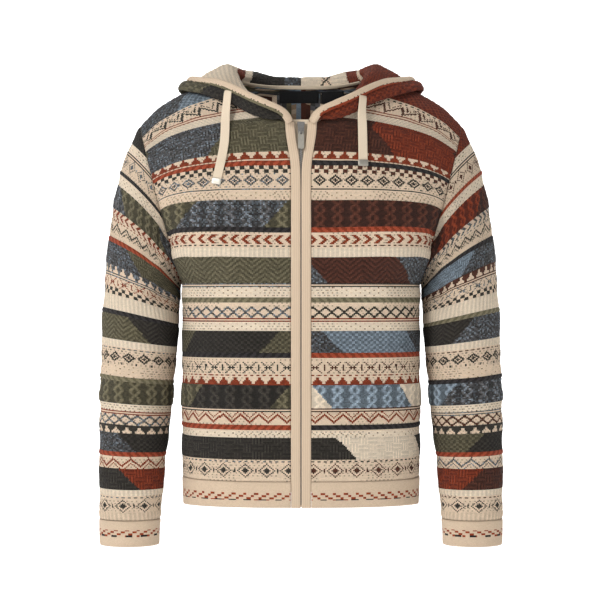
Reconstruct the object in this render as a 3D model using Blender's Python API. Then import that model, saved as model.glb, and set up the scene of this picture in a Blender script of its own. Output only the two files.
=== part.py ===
"""Knit zip-up hoodie in its worn shape, hollow and with no wearer.

Metres, +Z up. The front looks along -Y, and left is the wearer's left, at +X. The origin
is midway between the shoulders, level with the top of the chest. Cloth pieces are walls
through grids of points: rows run up or along a piece, columns run across or round it.
"""

import math

import bpy
import numpy as np
from mathutils import Vector
from mathutils.bvhtree import BVHTree

# ---- sizes -------------------------------------------------------------------------

WALL = 0.003            # one layer of the thick knit
BAND_WALL = 0.0042      # doubled knit of the hem and the cuffs
GAP = 0.0003            # between neighbouring pieces
HEM_BOTTOM = -0.6705
HEM_TOP = -0.628
HEM_DIP = 0.006         # how much lower the hem hangs at the sides than in the middle
ARMPIT = -0.300
UPPER_COURSES = 0.360   # height of knit between the armpit and the shoulder seam
V_ROW = 0.72            # share of those courses below the point of the neck
SECTION_POWER = 2.6     # roundness of a body section, where 2 is an ellipse
PLACKET_WIDTH = 0.0155
PLACKET_PROUD = 0.0012
PLACKET_DEEP = 0.0036
CORD_HEIGHT = 0.0024    # relief of a raised cord knitted across a panel
CORD_HALF = 0.0038      # half its width
NECK_POINT = (0.112, 0.0, 0.046)
SHOULDER_POINT = (0.272, 0.0, -0.036)

# Half sizes of the body, from the hem up to the armpits.
BODY_COLUMNS = ("z", "half_width", "front", "back")
BODY = (
    (-0.668, 0.1985, 0.1290, 0.1230),
    (-0.628, 0.2000, 0.1300, 0.1240),
    (-0.500, 0.2010, 0.1320, 0.1230),
    (-0.400, 0.2015, 0.1330, 0.1240),
    (-0.300, 0.2015, 0.1340, 0.1270),
)

# The front edge beside the zip: how far each placket stands from the middle, and its depth.
CENTRE_COLUMNS = ("z", "placket_edge", "front")
CENTRE = (
    (-0.668, 0.0008, 0.1290),
    (-0.500, 0.0008, 0.1320),
    (-0.300, 0.0008, 0.1340),
    (-0.200, 0.0008, 0.1358),
    (-0.140, 0.0008, 0.1355),
    (-0.112, 0.0016, 0.1332),
    (-0.085, 0.0052, 0.1298),
    (-0.062, 0.0090, 0.1256),
    (-0.040, 0.0106, 0.1205),
)

# The middle of the back, up to the neck seam.
SPINE_COLUMNS = ("z", "back")
SPINE = (
    (-0.300, 0.1270),
    (-0.200, 0.1310),
    (-0.120, 0.1280),
    (-0.050, 0.1140),
    (0.000, 0.0950),
    (0.040, 0.0780),
)

# Left half of the neck seam from the placket, and from the middle of the back.
FRONT_NECK = (
    (0.0264, -0.1187, -0.0395),
    (0.0500, -0.1110, -0.0270),
    (0.0850, -0.0880, 0.0000),
    (0.1060, -0.0480, 0.0290),
    NECK_POINT,
)
BACK_NECK = (
    (0.0, 0.0780, 0.0400),
    (0.0450, 0.0700, 0.0410),
    (0.0860, 0.0440, 0.0440),
    NECK_POINT,
)
SHOULDER_SEAM = (
    NECK_POINT,
    (0.160, 0.0, 0.0350),
    (0.205, 0.0, 0.0175),
    (0.243, 0.0, -0.0070),
    SHOULDER_POINT,
)

# Rings round the left sleeve: the point nearest the body, the outermost point, and how
# far the cloth stands in front of and behind the line between them.
SLEEVE_COLUMNS = ("in_x", "in_z", "out_x", "out_z", "depth_in_front", "depth_behind")
SLEEVE = (
    (0.2020, -0.300, 0.2720, -0.036, 0.084, 0.080),
    (0.2032, -0.306, 0.2935, -0.078, 0.088, 0.083),
    (0.2042, -0.314, 0.3090, -0.130, 0.086, 0.082),
    (0.2050, -0.324, 0.3185, -0.180, 0.083, 0.080),
    (0.2056, -0.338, 0.3258, -0.232, 0.080, 0.077),
    (0.2062, -0.358, 0.3312, -0.292, 0.077, 0.074),
    (0.2078, -0.386, 0.3347, -0.348, 0.073, 0.070),
    (0.2110, -0.422, 0.3372, -0.404, 0.069, 0.066),
    (0.2160, -0.478, 0.3390, -0.468, 0.064, 0.061),
    (0.2235, -0.548, 0.3400, -0.543, 0.059, 0.056),
    (0.2315, -0.622, 0.3403, -0.620, 0.053, 0.050),
    (0.2385, -0.700, 0.3395, -0.700, 0.046, 0.044),
)
CUFF = (
    (0.2383, -0.700, 0.3397, -0.700, 0.0465, 0.0445),
    (0.2398, -0.722, 0.3392, -0.722, 0.0455, 0.0435),
    (0.2402, -0.743, 0.3385, -0.743, 0.0450, 0.0430),
)
ARM_LEAN = 0.020        # how far forward of the shoulder the cuff hangs

# Soft troughs and ridges of the worn cloth: two ends, height (minus is a trough), width.
FOLD_COLUMNS = ("x1", "y1", "z1", "x2", "y2", "z2", "height", "width")
FOLDS = (
    (0.205, -0.080, -0.235, 0.150, -0.130, -0.150, -0.0050, 0.016),
    (0.202, -0.070, -0.262, 0.165, -0.128, -0.215, 0.0035, 0.014),
    (0.215, -0.078, -0.215, 0.262, -0.085, -0.268, -0.0060, 0.013),
    (0.215, -0.070, -0.262, 0.285, -0.078, -0.300, 0.0050, 0.015),
    (0.212, -0.062, -0.305, 0.262, -0.074, -0.335, -0.0050, 0.013),
    (0.222, 0.076, -0.225, 0.275, 0.078, -0.285, -0.0060, 0.014),
    (0.212, 0.066, -0.300, 0.290, 0.062, -0.340, 0.0050, 0.015),
    (0.335, -0.020, -0.395, 0.262, -0.066, -0.432, -0.0045, 0.014),
    (0.336, 0.020, -0.430, 0.262, 0.064, -0.455, -0.0040, 0.014),
    (0.238, -0.045, -0.600, 0.310, -0.052, -0.625, -0.0035, 0.012),
    (0.205, 0.078, -0.235, 0.150, 0.128, -0.160, -0.0050, 0.017),
    (0.150, -0.126, -0.600, 0.165, -0.122, -0.430, -0.0035, 0.022),
    (0.155, 0.112, -0.600, 0.150, 0.114, -0.430, -0.0050, 0.024),
    (0.060, 0.122, -0.610, 0.070, 0.122, -0.440, -0.0040, 0.026),
)

# Raised cords knitted across: height above the hem seam, or below the shoulder seam.
BODY_CORDS = (0.088, 0.206, 0.296, 0.410, 0.520)
SLEEVE_CORDS = (0.084, 0.196, 0.318, 0.430, 0.560)

FRONT_CELLS, SLEEVE_CELLS, NECK_CELLS = 9, 16, 7
SLEEVE_PART = 0.36      # how far down a sleeve its upper and lower walls meet
ROW_STEP = 0.042        # furthest apart that rows of a panel lie
UNDERARM_ROWS = (0.02, 0.06, 0.12)      # shares of the upper courses, where the armhole turns

# The hood, lying back. Each station starts on the neck seam and is drawn in its own
# upright plane, whose heading is in degrees from the front. The knit rises to a crest,
# falls to a turn, and comes back up to the edge; those points are (out, up) of the seam.
HOOD_COLUMNS = ("heading", "crest_out", "crest_up", "fall_out", "fall_up",
                "turn_out", "turn_up", "back_out", "back_up", "edge_out", "edge_up")
HOOD = (
    (20, -0.0006, 0.0034, 0.0021, 0.0050, 0.0042, 0.0053, 0.0056, 0.0067, 0.0062, 0.0090),
    (29, 0.0015, 0.0064, 0.0090, -0.0020, 0.0140, -0.0080, 0.0195, -0.0020, 0.0200, 0.0085),
    (36, 0.0010, 0.0065, 0.0120, -0.0070, 0.0215, -0.0180, 0.0285, -0.0130, 0.0300, 0.0020),
    (55, 0.0040, 0.0130, 0.0280, 0.0020, 0.0500, -0.0245, 0.0575, -0.0185, 0.0530, -0.0065),
    (88, 0.0120, 0.0205, 0.0460, 0.0070, 0.0930, -0.0235, 0.0965, -0.0165, 0.0810, -0.0060),
    (112, 0.0220, 0.0235, 0.0520, 0.0080, 0.0900, -0.0380, 0.1030, -0.0290, 0.0960, -0.0060),
    (133, 0.0250, 0.0215, 0.0520, -0.0020, 0.0780, -0.0820, 0.0990, -0.0660, 0.0980, -0.0100),
    (160, 0.0240, 0.0185, 0.0470, -0.0140, 0.0680, -0.1380, 0.0940, -0.1120, 0.0980, -0.0200),
    (180, 0.0220, 0.0165, 0.0450, -0.0180, 0.0640, -0.1660, 0.0900, -0.1380, 0.0980, -0.0260),
)
HOOD_STATIONS = (0.0, 0.10, 0.26, 0.42, 0.56, 0.66, 0.76, 0.88, 1.0)
HOOD_ROWS = 15
HOOD_CLEAR = 0.0060     # least height of the middle of the hood's knit over the body

# The casing: a soft roll along the hood's edge, ending in front of the placket tops.
BAND_WIDTH, BAND_THICK = 0.0135, 0.0095
BAND_START = ((0.0190, -0.1304, -0.0385), (0.0305, -0.1332, -0.0250))

# The zip, as distances behind the front edge or along it.
TEETH_BEHIND, TEETH_WIDTH, TEETH_THICK = 0.0053, 0.0052, 0.0026
TAPE_BEHIND, TAPE_WIDTH, TAPE_THICK = 0.0075, 0.0260, 0.0011
ZIP_TOP, SLIDER_Z, CROWN_Z = -0.036, -0.0520, -0.0585
SLIDER_COLUMNS = ("along", "half_width")
SLIDER = ((-0.0110, 0.0040), (-0.0095, 0.0047), (0.0020, 0.0052), (0.0080, 0.0062),
          (0.0110, 0.0056))
SLIDER_PROUD, SLIDER_BACK = 0.0030, 0.0034
CROWN_COLUMNS = ("along", "proud")
CROWN = ((-0.0034, -0.0010), (-0.0034, 0.0022), (-0.0024, 0.0039), (0.0024, 0.0039),
         (0.0034, 0.0022), (0.0034, -0.0010), (0.0020, -0.0010), (0.0020, 0.0026),
         (-0.0020, 0.0026), (-0.0020, -0.0010))
CROWN_HALF = 0.0013
PULL_COLUMNS = ("along", "half_width")
PULL = ((0.0009, 0.0030), (-0.0009, 0.0038), (-0.0043, 0.0046), (-0.0068, 0.0050),
        (-0.0270, 0.0050), (-0.0290, 0.0038))
PULL_HALF_THICK, PULL_WINDOW, PIVOT_PROUD = 0.0008, 0.0018, 0.0013

# Flat drawstrings: where each leaves the casing, and where it hangs to, as (x, z).
CORD_WIDTH, CORD_THICK = 0.0150, 0.0020
CORD_COLUMNS = ("x", "z")
CORD_LEFT = ((0.1015, -0.0015), (0.1000, -0.0180), (0.1005, -0.0550), (0.1010, -0.1030))
CORD_RIGHT = ((-0.1205, 0.0088), (-0.1235, -0.0250), (-0.1255, -0.0750), (-0.1365, -0.1330))
CORD_CLEAR = {"left": 0.0026, "right": 0.0018}
TIP_LENGTH, TIP_WIDTH, TIP_THICK = 0.0100, 0.0164, 0.0036

# Labels inside the back of the neck: left, right, bottom and top edges.
NECK_LABEL = (-0.0375, 0.0305, 0.0120, 0.0325)
CARE_LABEL = (0.0360, 0.0740, 0.0120, 0.0310)
LABEL_THICK = 0.0008
NECK_TAPE_WIDTH, NECK_TAPE_THICK = 0.0070, 0.0016


# ---- curves ------------------------------------------------------------------------

def spline(keys, rows, at):
    """Values at the places `at` on the smooth curves through rows given at rising keys."""
    keys, rows, at = np.asarray(keys, float), np.asarray(rows, float), np.asarray(at, float)
    slopes = np.gradient(rows, keys, axis=0)
    i = np.clip(np.searchsorted(keys, at, side="right") - 1, 0, len(keys) - 2)
    step = keys[i + 1] - keys[i]
    t = np.clip((at - keys[i]) / step, 0.0, 1.0)
    if rows.ndim > 1:
        shape = t.shape + (1,) * (rows.ndim - 1)
        t, step = t.reshape(shape), step.reshape(shape)
    rise = rows[i] * (1 + 2 * t) * (1 - t) ** 2 + rows[i + 1] * t * t * (3 - 2 * t)
    return rise + step * t * (1 - t) * (slopes[i] * (1 - t) - slopes[i + 1] * t)


def lengths(points):
    """Distance along a line of points, from its start."""
    steps = np.linalg.norm(np.diff(points, axis=0), axis=1)
    return np.concatenate([[0.0], np.cumsum(steps)])


def along(points, shares, samples=400):
    """Points at shares of the length of the smooth curve through some points."""
    points = np.asarray(points, float)
    keys = lengths(points)
    line = spline(keys, points, np.linspace(0, keys[-1], samples))
    return at_shares(line, shares)


def at_shares(line, shares):
    """Points at shares of the length of a finely drawn line."""
    run = lengths(line)
    wanted = np.asarray(shares, float) * run[-1]
    return np.stack([np.interp(wanted, run, line[:, k]) for k in range(3)], axis=-1)


def table_at(table, z):
    """The other columns of a table at some heights, which are its first column."""
    table = np.asarray(table, float)
    return spline(table[:, 0], table[:, 1:], z)


# ---- the body ----------------------------------------------------------------------

def body_section(z, front, shares, samples=240):
    """Half of a level section, from the placket or the spine round to the side seam."""
    half_width, front_depth, back_depth = table_at(BODY, np.array([z]))[0]
    depth = -front_depth if front else back_depth
    turn = np.linspace(0, math.pi / 2, samples)
    x = half_width * np.sin(turn) ** (2 / SECTION_POWER)
    y = depth * np.cos(turn) ** (2 / SECTION_POWER)
    line = np.stack([x, y, np.full(samples, z)], axis=1)
    start = panel_edge(z) if front else 0.0
    first = int(np.searchsorted(x, start))
    depth_there = np.interp(start, x, y)
    line = np.vstack([[start, depth_there, z], line[max(first, 1):]])
    return at_shares(line, shares)


def panel_edge(z):
    """Where the front panel starts, beside the placket."""
    return float(table_at(CENTRE, np.array([z]))[0, 0]) + PLACKET_WIDTH + GAP


def centre_line(w, front):
    """The inner edge of an upper half panel: up the middle, then round the neck."""
    w = np.asarray(w, float)
    rise = np.clip(w / V_ROW, 0, 1)
    neck = np.clip((w - V_ROW) / (1 - V_ROW), 0, 1)
    if front:
        top = CENTRE[-1][0]
        z = ARMPIT + (top - ARMPIT) * rise
        edge, depth = table_at(CENTRE, z).T
        straight = np.stack([edge + PLACKET_WIDTH + GAP, -depth, z], axis=1)
        curve = along(FRONT_NECK, neck)
    else:
        z = ARMPIT + (SPINE[-1][0] - ARMPIT) * rise
        straight = np.stack([np.zeros_like(z), table_at(SPINE, z)[:, 0], z], axis=1)
        curve = along(BACK_NECK, neck)
    return np.where((w <= V_ROW)[:, None], straight, curve)


def sleeve_ring(row, turn, lean=0.0):
    """Points round one ring of the left sleeve. The turn runs from the armpit by the front."""
    in_x, in_z, out_x, out_z, front, back = row
    inner, outer = np.array([in_x, 0.0, in_z]), np.array([out_x, 0.0, out_z])
    tall = max(0.0, (out_z - in_z) / np.linalg.norm(outer - inner))
    power = 1 + 0.5 * tall * np.cos(turn / 2) ** 2
    side = np.sign(np.sin(turn)) * np.abs(np.sin(turn)) ** power
    share = (1 - np.cos(turn)) / 2
    points = inner + (outer - inner) * share[:, None]
    points[:, 1] = -side * np.where(side > 0, front, back) - lean
    return points


def ring_frame(turn):
    """For the sleeve's first ring: outwards in its plane, and across it to the sleeve."""
    in_x, in_z, out_x, out_z = SLEEVE[0][:4]
    up = np.array([out_x - in_x, 0.0, out_z - in_z])
    up /= np.linalg.norm(up)
    across = np.array([up[2], 0.0, -up[0]])
    step = 1e-3
    ahead = sleeve_ring(SLEEVE[0], turn + step) - sleeve_ring(SLEEVE[0], turn - step)
    out = np.cross(across, ahead)
    out /= np.linalg.norm(out, axis=1, keepdims=True)
    out[np.cos(turn) > 0.9999] = (0.0, 0.0, -1.0)
    return out, across


def climb(w):
    """How far up from the armpit to the shoulder seam a share w of the courses comes."""
    w = np.asarray(w, float)
    return w * (1.35 - 0.35 * w)


def armhole(w, front):
    """The outer edge of an upper half panel, and the way out of the armhole there."""
    turn = np.arccos(1 - 2 * np.clip(climb(w), 0, 1))
    turn = turn if front else 2 * math.pi - turn
    out, across = ring_frame(turn)
    return sleeve_ring(SLEEVE[0], turn) - across * GAP / 2, out


def upper_rows(w, front, shares):
    """Rows of an upper half panel at shares w of the way up to the shoulder seam."""
    w = np.asarray(w, float)
    blend = climb(w)[:, None, None]
    below = body_section(ARMPIT, front, shares)[None]
    seam = along(SHOULDER_SEAM, shares)[None]
    rows = below * (1 - blend) + seam * blend
    across = np.asarray(shares, float)[None]
    level = np.clip(1 - w / V_ROW, 0, 1)[:, None] if front else np.zeros((len(w), 1))
    reach = (across + (across * across * (3 - 2 * across) - across) * level)[..., None]
    inner = centre_line(w, front)[:, None] - rows[:, :1]
    outer = armhole(w, front)[0][:, None] - rows[:, -1:]
    return rows + inner * (1 - reach) + outer * reach


def half_panel(front, heights, shares):
    """Outer points of the left front or of the left half of the back."""
    armpit_height = ARMPIT - HEM_TOP
    rows = []
    for height in heights:
        if height <= armpit_height:
            rows.append(body_section(HEM_TOP + height, front, shares))
        else:
            w = min(1.0, (height - armpit_height) / UPPER_COURSES)
            rows.append(upper_rows([w], front, shares)[0])
    grid = np.array(rows)
    grid[:, :, 1] += -GAP / 2 if front else GAP / 2
    return grid


def panel_out(grid, heights, front):
    """Which way is out at each point of a half panel, shared with its neighbours at seams."""
    out = normals(grid, reverse=not front)
    w = (np.asarray(heights) - (ARMPIT - HEM_TOP)) / UPPER_COURSES
    out[w < V_ROW + 1e-6, 0, 0] = 0.0
    upper = w > -1e-6
    out[~upper, -1, 1] = 0.0
    if upper.any():
        out[upper, -1] = armhole(np.clip(w[upper], 0, 1), front)[1]
    if w[-1] > 1 - 1e-6:
        out[-1, :, 1] = 0.0
    return out / np.linalg.norm(out, axis=2, keepdims=True)


def panel_surface(front, heights, shares):
    """A half panel with its worn folds, and which way is out at each point."""
    grid = half_panel(front, heights, shares)
    out = panel_out(grid, heights, front)
    grid = grid + out * fold_heights(grid)[..., None]
    return grid, panel_out(grid, heights, front)


# ---- sleeves -----------------------------------------------------------------------

def sleeve_grid(table, heights, turns):
    """Rings of a sleeve or cuff at distances down its outer side."""
    table = np.asarray(table, float)
    down = lengths(table[:, 2:4])
    rows = spline(down, table, np.asarray(heights, float))
    top, bottom = SHOULDER_POINT[2], CUFF[-1][1]
    rings = []
    for row in rows:
        lean = ARM_LEAN * max(0.0, (top - row[3]) / (top - bottom)) ** 1.5
        lean *= min(1.0, max(0.0, (top - row[1] - 0.26) / 0.05))
        rings.append(sleeve_ring(row, turns, lean))
    return np.array(rings)


def sleeve_surface(heights, turns):
    """The left sleeve with its worn folds, and which way is out at each point."""
    grid = sleeve_grid(SLEEVE, heights, turns)
    rim, across = ring_frame(turns)
    out = normals(grid, closed=True, reverse=True)
    out[0] = rim
    grid = grid + out * fold_heights(grid)[..., None]
    out = normals(grid, closed=True, reverse=True)
    out[0] = rim
    grid[0] += across * GAP / 2
    return grid, out


# ---- surfaces ----------------------------------------------------------------------

def normals(grid, closed=False, reverse=False):
    """Unit normals of a grid: across the columns, turned to up the rows."""
    if closed:
        across = np.roll(grid, -1, axis=1) - np.roll(grid, 1, axis=1)
    else:
        across = np.gradient(grid, axis=1)
    up = np.gradient(grid, axis=0)
    found = np.cross(across, up)
    found /= np.maximum(np.linalg.norm(found, axis=2, keepdims=True), 1e-12)
    return -found if reverse else found


def fold_heights(points):
    """How far the worn folds lift each point, for either side of the body."""
    near = np.array(points, float)
    near[..., 0] = np.abs(near[..., 0])
    lift = np.zeros(near.shape[:-1])
    for x1, y1, z1, x2, y2, z2, height, width in FOLDS:
        start, run = np.array([x1, y1, z1]), np.array([x2 - x1, y2 - y1, z2 - z1])
        t = np.clip((near - start) @ run / (run @ run), 0, 1)
        away = np.linalg.norm(near - start - t[..., None] * run, axis=-1)
        lift += height * np.exp(-(away / width) ** 2) * (0.35 + 0.65 * np.sin(math.pi * t))
    return lift


def cord_heights(points, heights, cords):
    """Relief of the raised cords, left out where the body and a sleeve hang together."""
    away = np.abs(np.asarray(heights)[:, None] - np.asarray(cords)[None]).min(axis=1)
    relief = CORD_HEIGHT * np.clip(1 - (away / CORD_HALF) ** 2, 0, 1)
    x, z = np.abs(points[..., 0]), points[..., 2]
    beside = np.clip(1 - np.abs(x - 0.2025) / 0.012, 0, 1) * np.clip((z + 0.46) / 0.05, 0, 1)
    return relief[:, None] * (1 - np.clip(3 * beside, 0, 1))


def row_heights(marks, cords):
    """Heights of rows: at some marks, three for each cord, and others evenly between."""
    marks = list(marks)
    for cord in cords:
        marks += [cord - CORD_HALF, cord, cord + CORD_HALF]
    marks = sorted(marks)
    found = [marks[0]]
    for low, high in zip(marks, marks[1:]):
        parts = max(1, math.ceil((high - low) / ROW_STEP - 0.05))
        found += [low + (high - low) * (k + 1) / parts for k in range(parts)]
    return np.array(found)


def body_rows():
    """Heights of the rows of the fronts and the back above the hem seam."""
    armpit = ARMPIT - HEM_TOP
    zip_top = [(row[0] - ARMPIT) / (CENTRE[-1][0] - ARMPIT) * V_ROW for row in CENTRE[5:-1]]
    neck = V_ROW + (1 - V_ROW) * np.linspace(0, 1, NECK_CELLS + 1)
    marks = [armpit + UPPER_COURSES * w for w in (*UNDERARM_ROWS, *zip_top, *neck)]
    return row_heights([0.0, armpit, *marks], BODY_CORDS)


def mirrored(grid):
    """The same grid on the wearer's right, with its columns in the same order."""
    return grid * np.array([-1.0, 1.0, 1.0])


# ---- Blender objects ---------------------------------------------------------------

def material(name, colour, roughness=0.9, metallic=0.0):
    made = bpy.data.materials.new(name)
    made.use_nodes = True
    shader = made.node_tree.nodes["Principled BSDF"]
    shader.inputs["Base Color"].default_value = (*colour, 1.0)
    shader.inputs["Roughness"].default_value = roughness
    shader.inputs["Metallic"].default_value = metallic
    return made


def solid(name, points, faces, finish):
    """One closed object, with its faces pointing out."""
    points, faces = np.asarray(points, float), [tuple(face) for face in faces]
    volume = 0.0
    for face in faces:
        a, rest = points[face[0]], [points[i] for i in face[1:]]
        for b, c in zip(rest, rest[1:]):
            volume += float(a @ np.cross(b, c))
    if volume < 0:
        faces = [face[::-1] for face in faces]
    mesh = bpy.data.meshes.new(name)
    mesh.from_pydata([tuple(p) for p in points], [], faces)
    mesh.materials.append(finish)
    mesh.shade_smooth()
    mesh.set_sharp_from_angle(angle=math.radians(40))
    made = bpy.data.objects.new(name, mesh)
    bpy.context.scene.collection.objects.link(made)
    return made


def wall(name, outer, inner, finish, closed=False):
    """A cloth wall between two grids. A closed one runs round, with both ends open."""
    rows, columns = outer.shape[:2]
    count = rows * columns
    spans = columns if closed else columns - 1

    def corner(row, column):
        return row * columns + column % columns

    faces = []
    for row in range(rows - 1):
        for column in range(spans):
            quad = (corner(row, column), corner(row, column + 1),
                    corner(row + 1, column + 1), corner(row + 1, column))
            faces.append(quad)
            faces.append(tuple(count + i for i in quad[::-1]))
    rims = [[corner(0, c) for c in range(spans + 1)],
            [corner(rows - 1, c) for c in range(spans + 1)][::-1]]
    if not closed:
        rims += [[corner(r, 0) for r in range(rows)][::-1],
                 [corner(r, columns - 1) for r in range(rows)]]
    for rim in rims:
        for a, b in zip(rim, rim[1:]):
            faces.append((b, a, a + count, b + count))
    points = np.concatenate([outer.reshape(-1, 3), inner.reshape(-1, 3)])
    return solid(name, points, faces, finish)


def tube(name, centres, ups, half_wide, half_thick, sides, finish, power=2.0):
    """A rounded strip along a line: `ups` is its thin direction at each point."""
    ahead = np.gradient(centres, axis=0)
    ahead /= np.linalg.norm(ahead, axis=1, keepdims=True)
    ups = ups - ahead * (ups * ahead).sum(axis=1, keepdims=True)
    ups /= np.linalg.norm(ups, axis=1, keepdims=True)
    wide = np.cross(ahead, ups)
    turn = np.arange(sides) * 2 * math.pi / sides + math.pi / sides
    round_x = np.sign(np.cos(turn)) * np.abs(np.cos(turn)) ** (2 / power) * half_wide
    round_y = np.sign(np.sin(turn)) * np.abs(np.sin(turn)) ** (2 / power) * half_thick
    rings = (centres[:, None] + wide[:, None] * round_x[None, :, None]
             + ups[:, None] * round_y[None, :, None])
    count = len(centres)
    faces = [tuple(range(sides))[::-1], tuple((count - 1) * sides + i for i in range(sides))]
    for ring in range(count - 1):
        for i in range(sides):
            j = (i + 1) % sides
            faces.append((ring * sides + i, ring * sides + j,
                          (ring + 1) * sides + j, (ring + 1) * sides + i))
    return solid(name, rings.reshape(-1, 3), faces, finish)


# ---- the pieces --------------------------------------------------------------------

def make_fronts(finish):
    """Both fronts, from the hem seam to the neck and shoulder seams."""
    heights = body_rows()
    heights[0] += GAP
    base, out = panel_surface(True, heights, np.linspace(0, 1, FRONT_CELLS + 1))
    outer = base + out * cord_heights(base, heights, BODY_CORDS)[..., None]
    inner = base - out * WALL
    wall("front_left", outer, inner, finish)
    wall("front_right", mirrored(outer), mirrored(inner), finish)
    return outer


def make_back(finish):
    """Both halves of the back, which meet up the middle."""
    heights = body_rows()
    heights[0] += GAP
    base, out = panel_surface(False, heights, np.linspace(0, 1, FRONT_CELLS + 1))
    outer = base + out * cord_heights(base, heights, BODY_CORDS)[..., None]
    inner = base - out * WALL
    for grid in (outer, inner):
        grid[:, 0, 0] = np.maximum(grid[:, 0, 0], GAP / 2)
    wall("back_left", outer, inner, finish)
    wall("back_right", mirrored(outer), mirrored(inner), finish)
    return outer, inner


def gutters(grid, part):
    """A sleeve's grid as four, a gap apart: upper and lower, each with a front and a back."""
    half = grid.shape[1] // 2
    down = grid[part + 1].mean(axis=0) - grid[part - 1].mean(axis=0)
    down /= np.linalg.norm(down)
    found = {}
    for level, rows, rim, sign in (("upper", slice(part + 1), -1, -1),
                                   ("lower", slice(part, None), 0, 1)):
        for face, first, way in (("front", 0, -1), ("back", half, 1)):
            columns = np.arange(first, first + half + 1) % (2 * half)
            piece = grid[rows][:, columns].copy()
            piece[:, [0, -1], 1] += way * GAP / 2
            piece[rim] += sign * down * GAP / 2
            found[level + "_" + face] = piece
    return found


def make_sleeves(finish, cuff_finish):
    """Both sleeves from the armhole to the cuff seam, in four walls each, and the cuffs."""
    turns = np.arange(SLEEVE_CELLS) * 2 * math.pi / SLEEVE_CELLS
    heights = row_heights([0.0, lengths(np.asarray(SLEEVE)[:, 2:4])[-1]], SLEEVE_CORDS)
    heights[-1] -= GAP
    base, out = sleeve_surface(heights, turns)
    outer = base + out * cord_heights(base, heights, SLEEVE_CORDS)[..., None]
    inner = base - out * WALL
    part = int(np.argmin(np.abs(heights - SLEEVE_PART)))
    inside = gutters(inner, part)
    for name, piece in gutters(outer, part).items():
        wall("sleeve_left_" + name, piece, inside[name], finish)
        wall("sleeve_right_" + name, mirrored(piece), mirrored(inside[name]), finish)
    cuff = sleeve_grid(CUFF, lengths(np.asarray(CUFF)[:, 2:4]), turns)
    out = normals(cuff, closed=True, reverse=True)
    rim, inside = cuff + out * (BAND_WALL - WALL), cuff - out * WALL
    wall("cuff_left", rim, inside, cuff_finish, closed=True)
    wall("cuff_right", mirrored(rim), mirrored(inside), cuff_finish, closed=True)
    return outer


def make_hem(finish):
    """The doubled band round the hem, below the two fronts and the two backs."""
    shares = np.linspace(0, 1, FRONT_CELLS + 1)
    heights = np.array([HEM_BOTTOM, (HEM_BOTTOM + HEM_TOP) / 2, HEM_TOP]) - HEM_TOP
    for name, is_front in (("hem_front_", True), ("hem_back_", False)):
        grid = half_panel(is_front, heights, shares)
        grid[..., 2] -= HEM_DIP * (heights / heights[0])[:, None] * shares ** 4
        out = panel_out(grid, heights, is_front)
        outer, inner = grid + out * (BAND_WALL - WALL), grid - out * WALL
        if not is_front:
            outer[:, 0, 0] = inner[:, 0, 0] = GAP / 2
        wall(name + "left", outer, inner, finish)
        wall(name + "right", mirrored(outer), mirrored(inner), finish)


def make_plackets(finish):
    """The two doubled strips that cover the zip."""
    rows = (body_rows() - ARMPIT + HEM_TOP) / UPPER_COURSES / V_ROW
    rows = ARMPIT + (CENTRE[-1][0] - ARMPIT) * rows[(rows > 0) & (rows < 1.001)]
    z = np.concatenate([np.linspace(HEM_BOTTOM, ARMPIT, 8), rows])
    edge, depth = table_at(CENTRE, z).T
    across = np.linspace(0, PLACKET_WIDTH, 4)
    grid = np.empty((len(z), len(across), 3))
    grid[..., 0] = edge[:, None] + across[None]
    grid[..., 1] = -depth[:, None]
    grid[..., 2] = z[:, None]
    out = normals(grid)
    proud = PLACKET_PROUD * np.array([0.55, 1.0, 1.0, 0.55])[None, :, None]
    outer, inner = grid + out * proud, grid - out * PLACKET_DEEP
    wall("placket_left", outer, inner, finish)
    wall("placket_right", mirrored(outer), mirrored(inner), finish)


# ---- the hood ----------------------------------------------------------------------

def neck_edges():
    """The left of the neck seam, from the placket to the back: points, out, and away."""
    heights, shares = body_rows(), np.linspace(0, 1, FRONT_CELLS + 1)
    front, front_out = panel_surface(True, heights, shares)
    back, back_out = panel_surface(False, heights, shares)
    first = len(heights) - NECK_CELLS - 1
    points = np.concatenate([front[first:, 0], back[first:-1, 0][::-1]])
    outs = np.concatenate([front_out[first:, 0], back_out[first:-1, 0][::-1]])
    points[NECK_CELLS, 1] = points[-1, 0] = 0.0
    runs = np.gradient(points, axis=0)
    runs[-1] = (1.0, 0.0, 0.0)
    away = np.cross(outs, runs)
    away /= np.linalg.norm(away, axis=1, keepdims=True)
    away *= np.sign(away[:, 2])[:, None]
    away[0] = np.cross(outs[0], [1.0, 0.0, 0.0])
    away[-1, 0] = 0.0
    return points, outs, away


def hood_grid(rows, trees):
    """The middle of the left half of the hood's knit: rows from the neck seam to the edge."""
    points, outs, away = neck_edges()
    seam_run = lengths(points)
    stations = spline(HOOD_STATIONS, np.array(HOOD, float), seam_run / seam_run[-1])
    grid = np.empty((len(rows), len(points), 3))
    for column, row in enumerate(stations):
        start = points[column] - outs[column] * WALL / 2 + away[column] * 1.5 * GAP
        heading = math.radians(row[0])
        ahead = np.array([math.sin(heading), -math.cos(heading), 0.0])
        path = [start, start + away[column] * 0.0022]
        for out, up in row[1:].reshape(-1, 2):
            path.append(points[column] + ahead * out + [0.0, 0.0, up])
        grid[:, column] = along(path, rows)
    grid[:, -1, 0] = 0.0
    for r, share in enumerate(rows):
        for c in range(1, len(points)):
            if share > 0.15:
                least = HOOD_CLEAR * min(1.0, (share - 0.15) / 0.2)
                grid[r, c] = raised(grid[r, c], trees, least)
    return grid, outs


def raised(point, trees, least):
    """A point moved so that it stands at least so far outside the knit below it."""
    for tree in trees:
        near, out, _, _ = tree.find_nearest(Vector(point), 0.03)
        if near is None:
            continue
        height = (Vector(point) - near).dot(out)
        if height < least:
            point = np.array(Vector(point) + out * (least - height))
    return point


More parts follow.
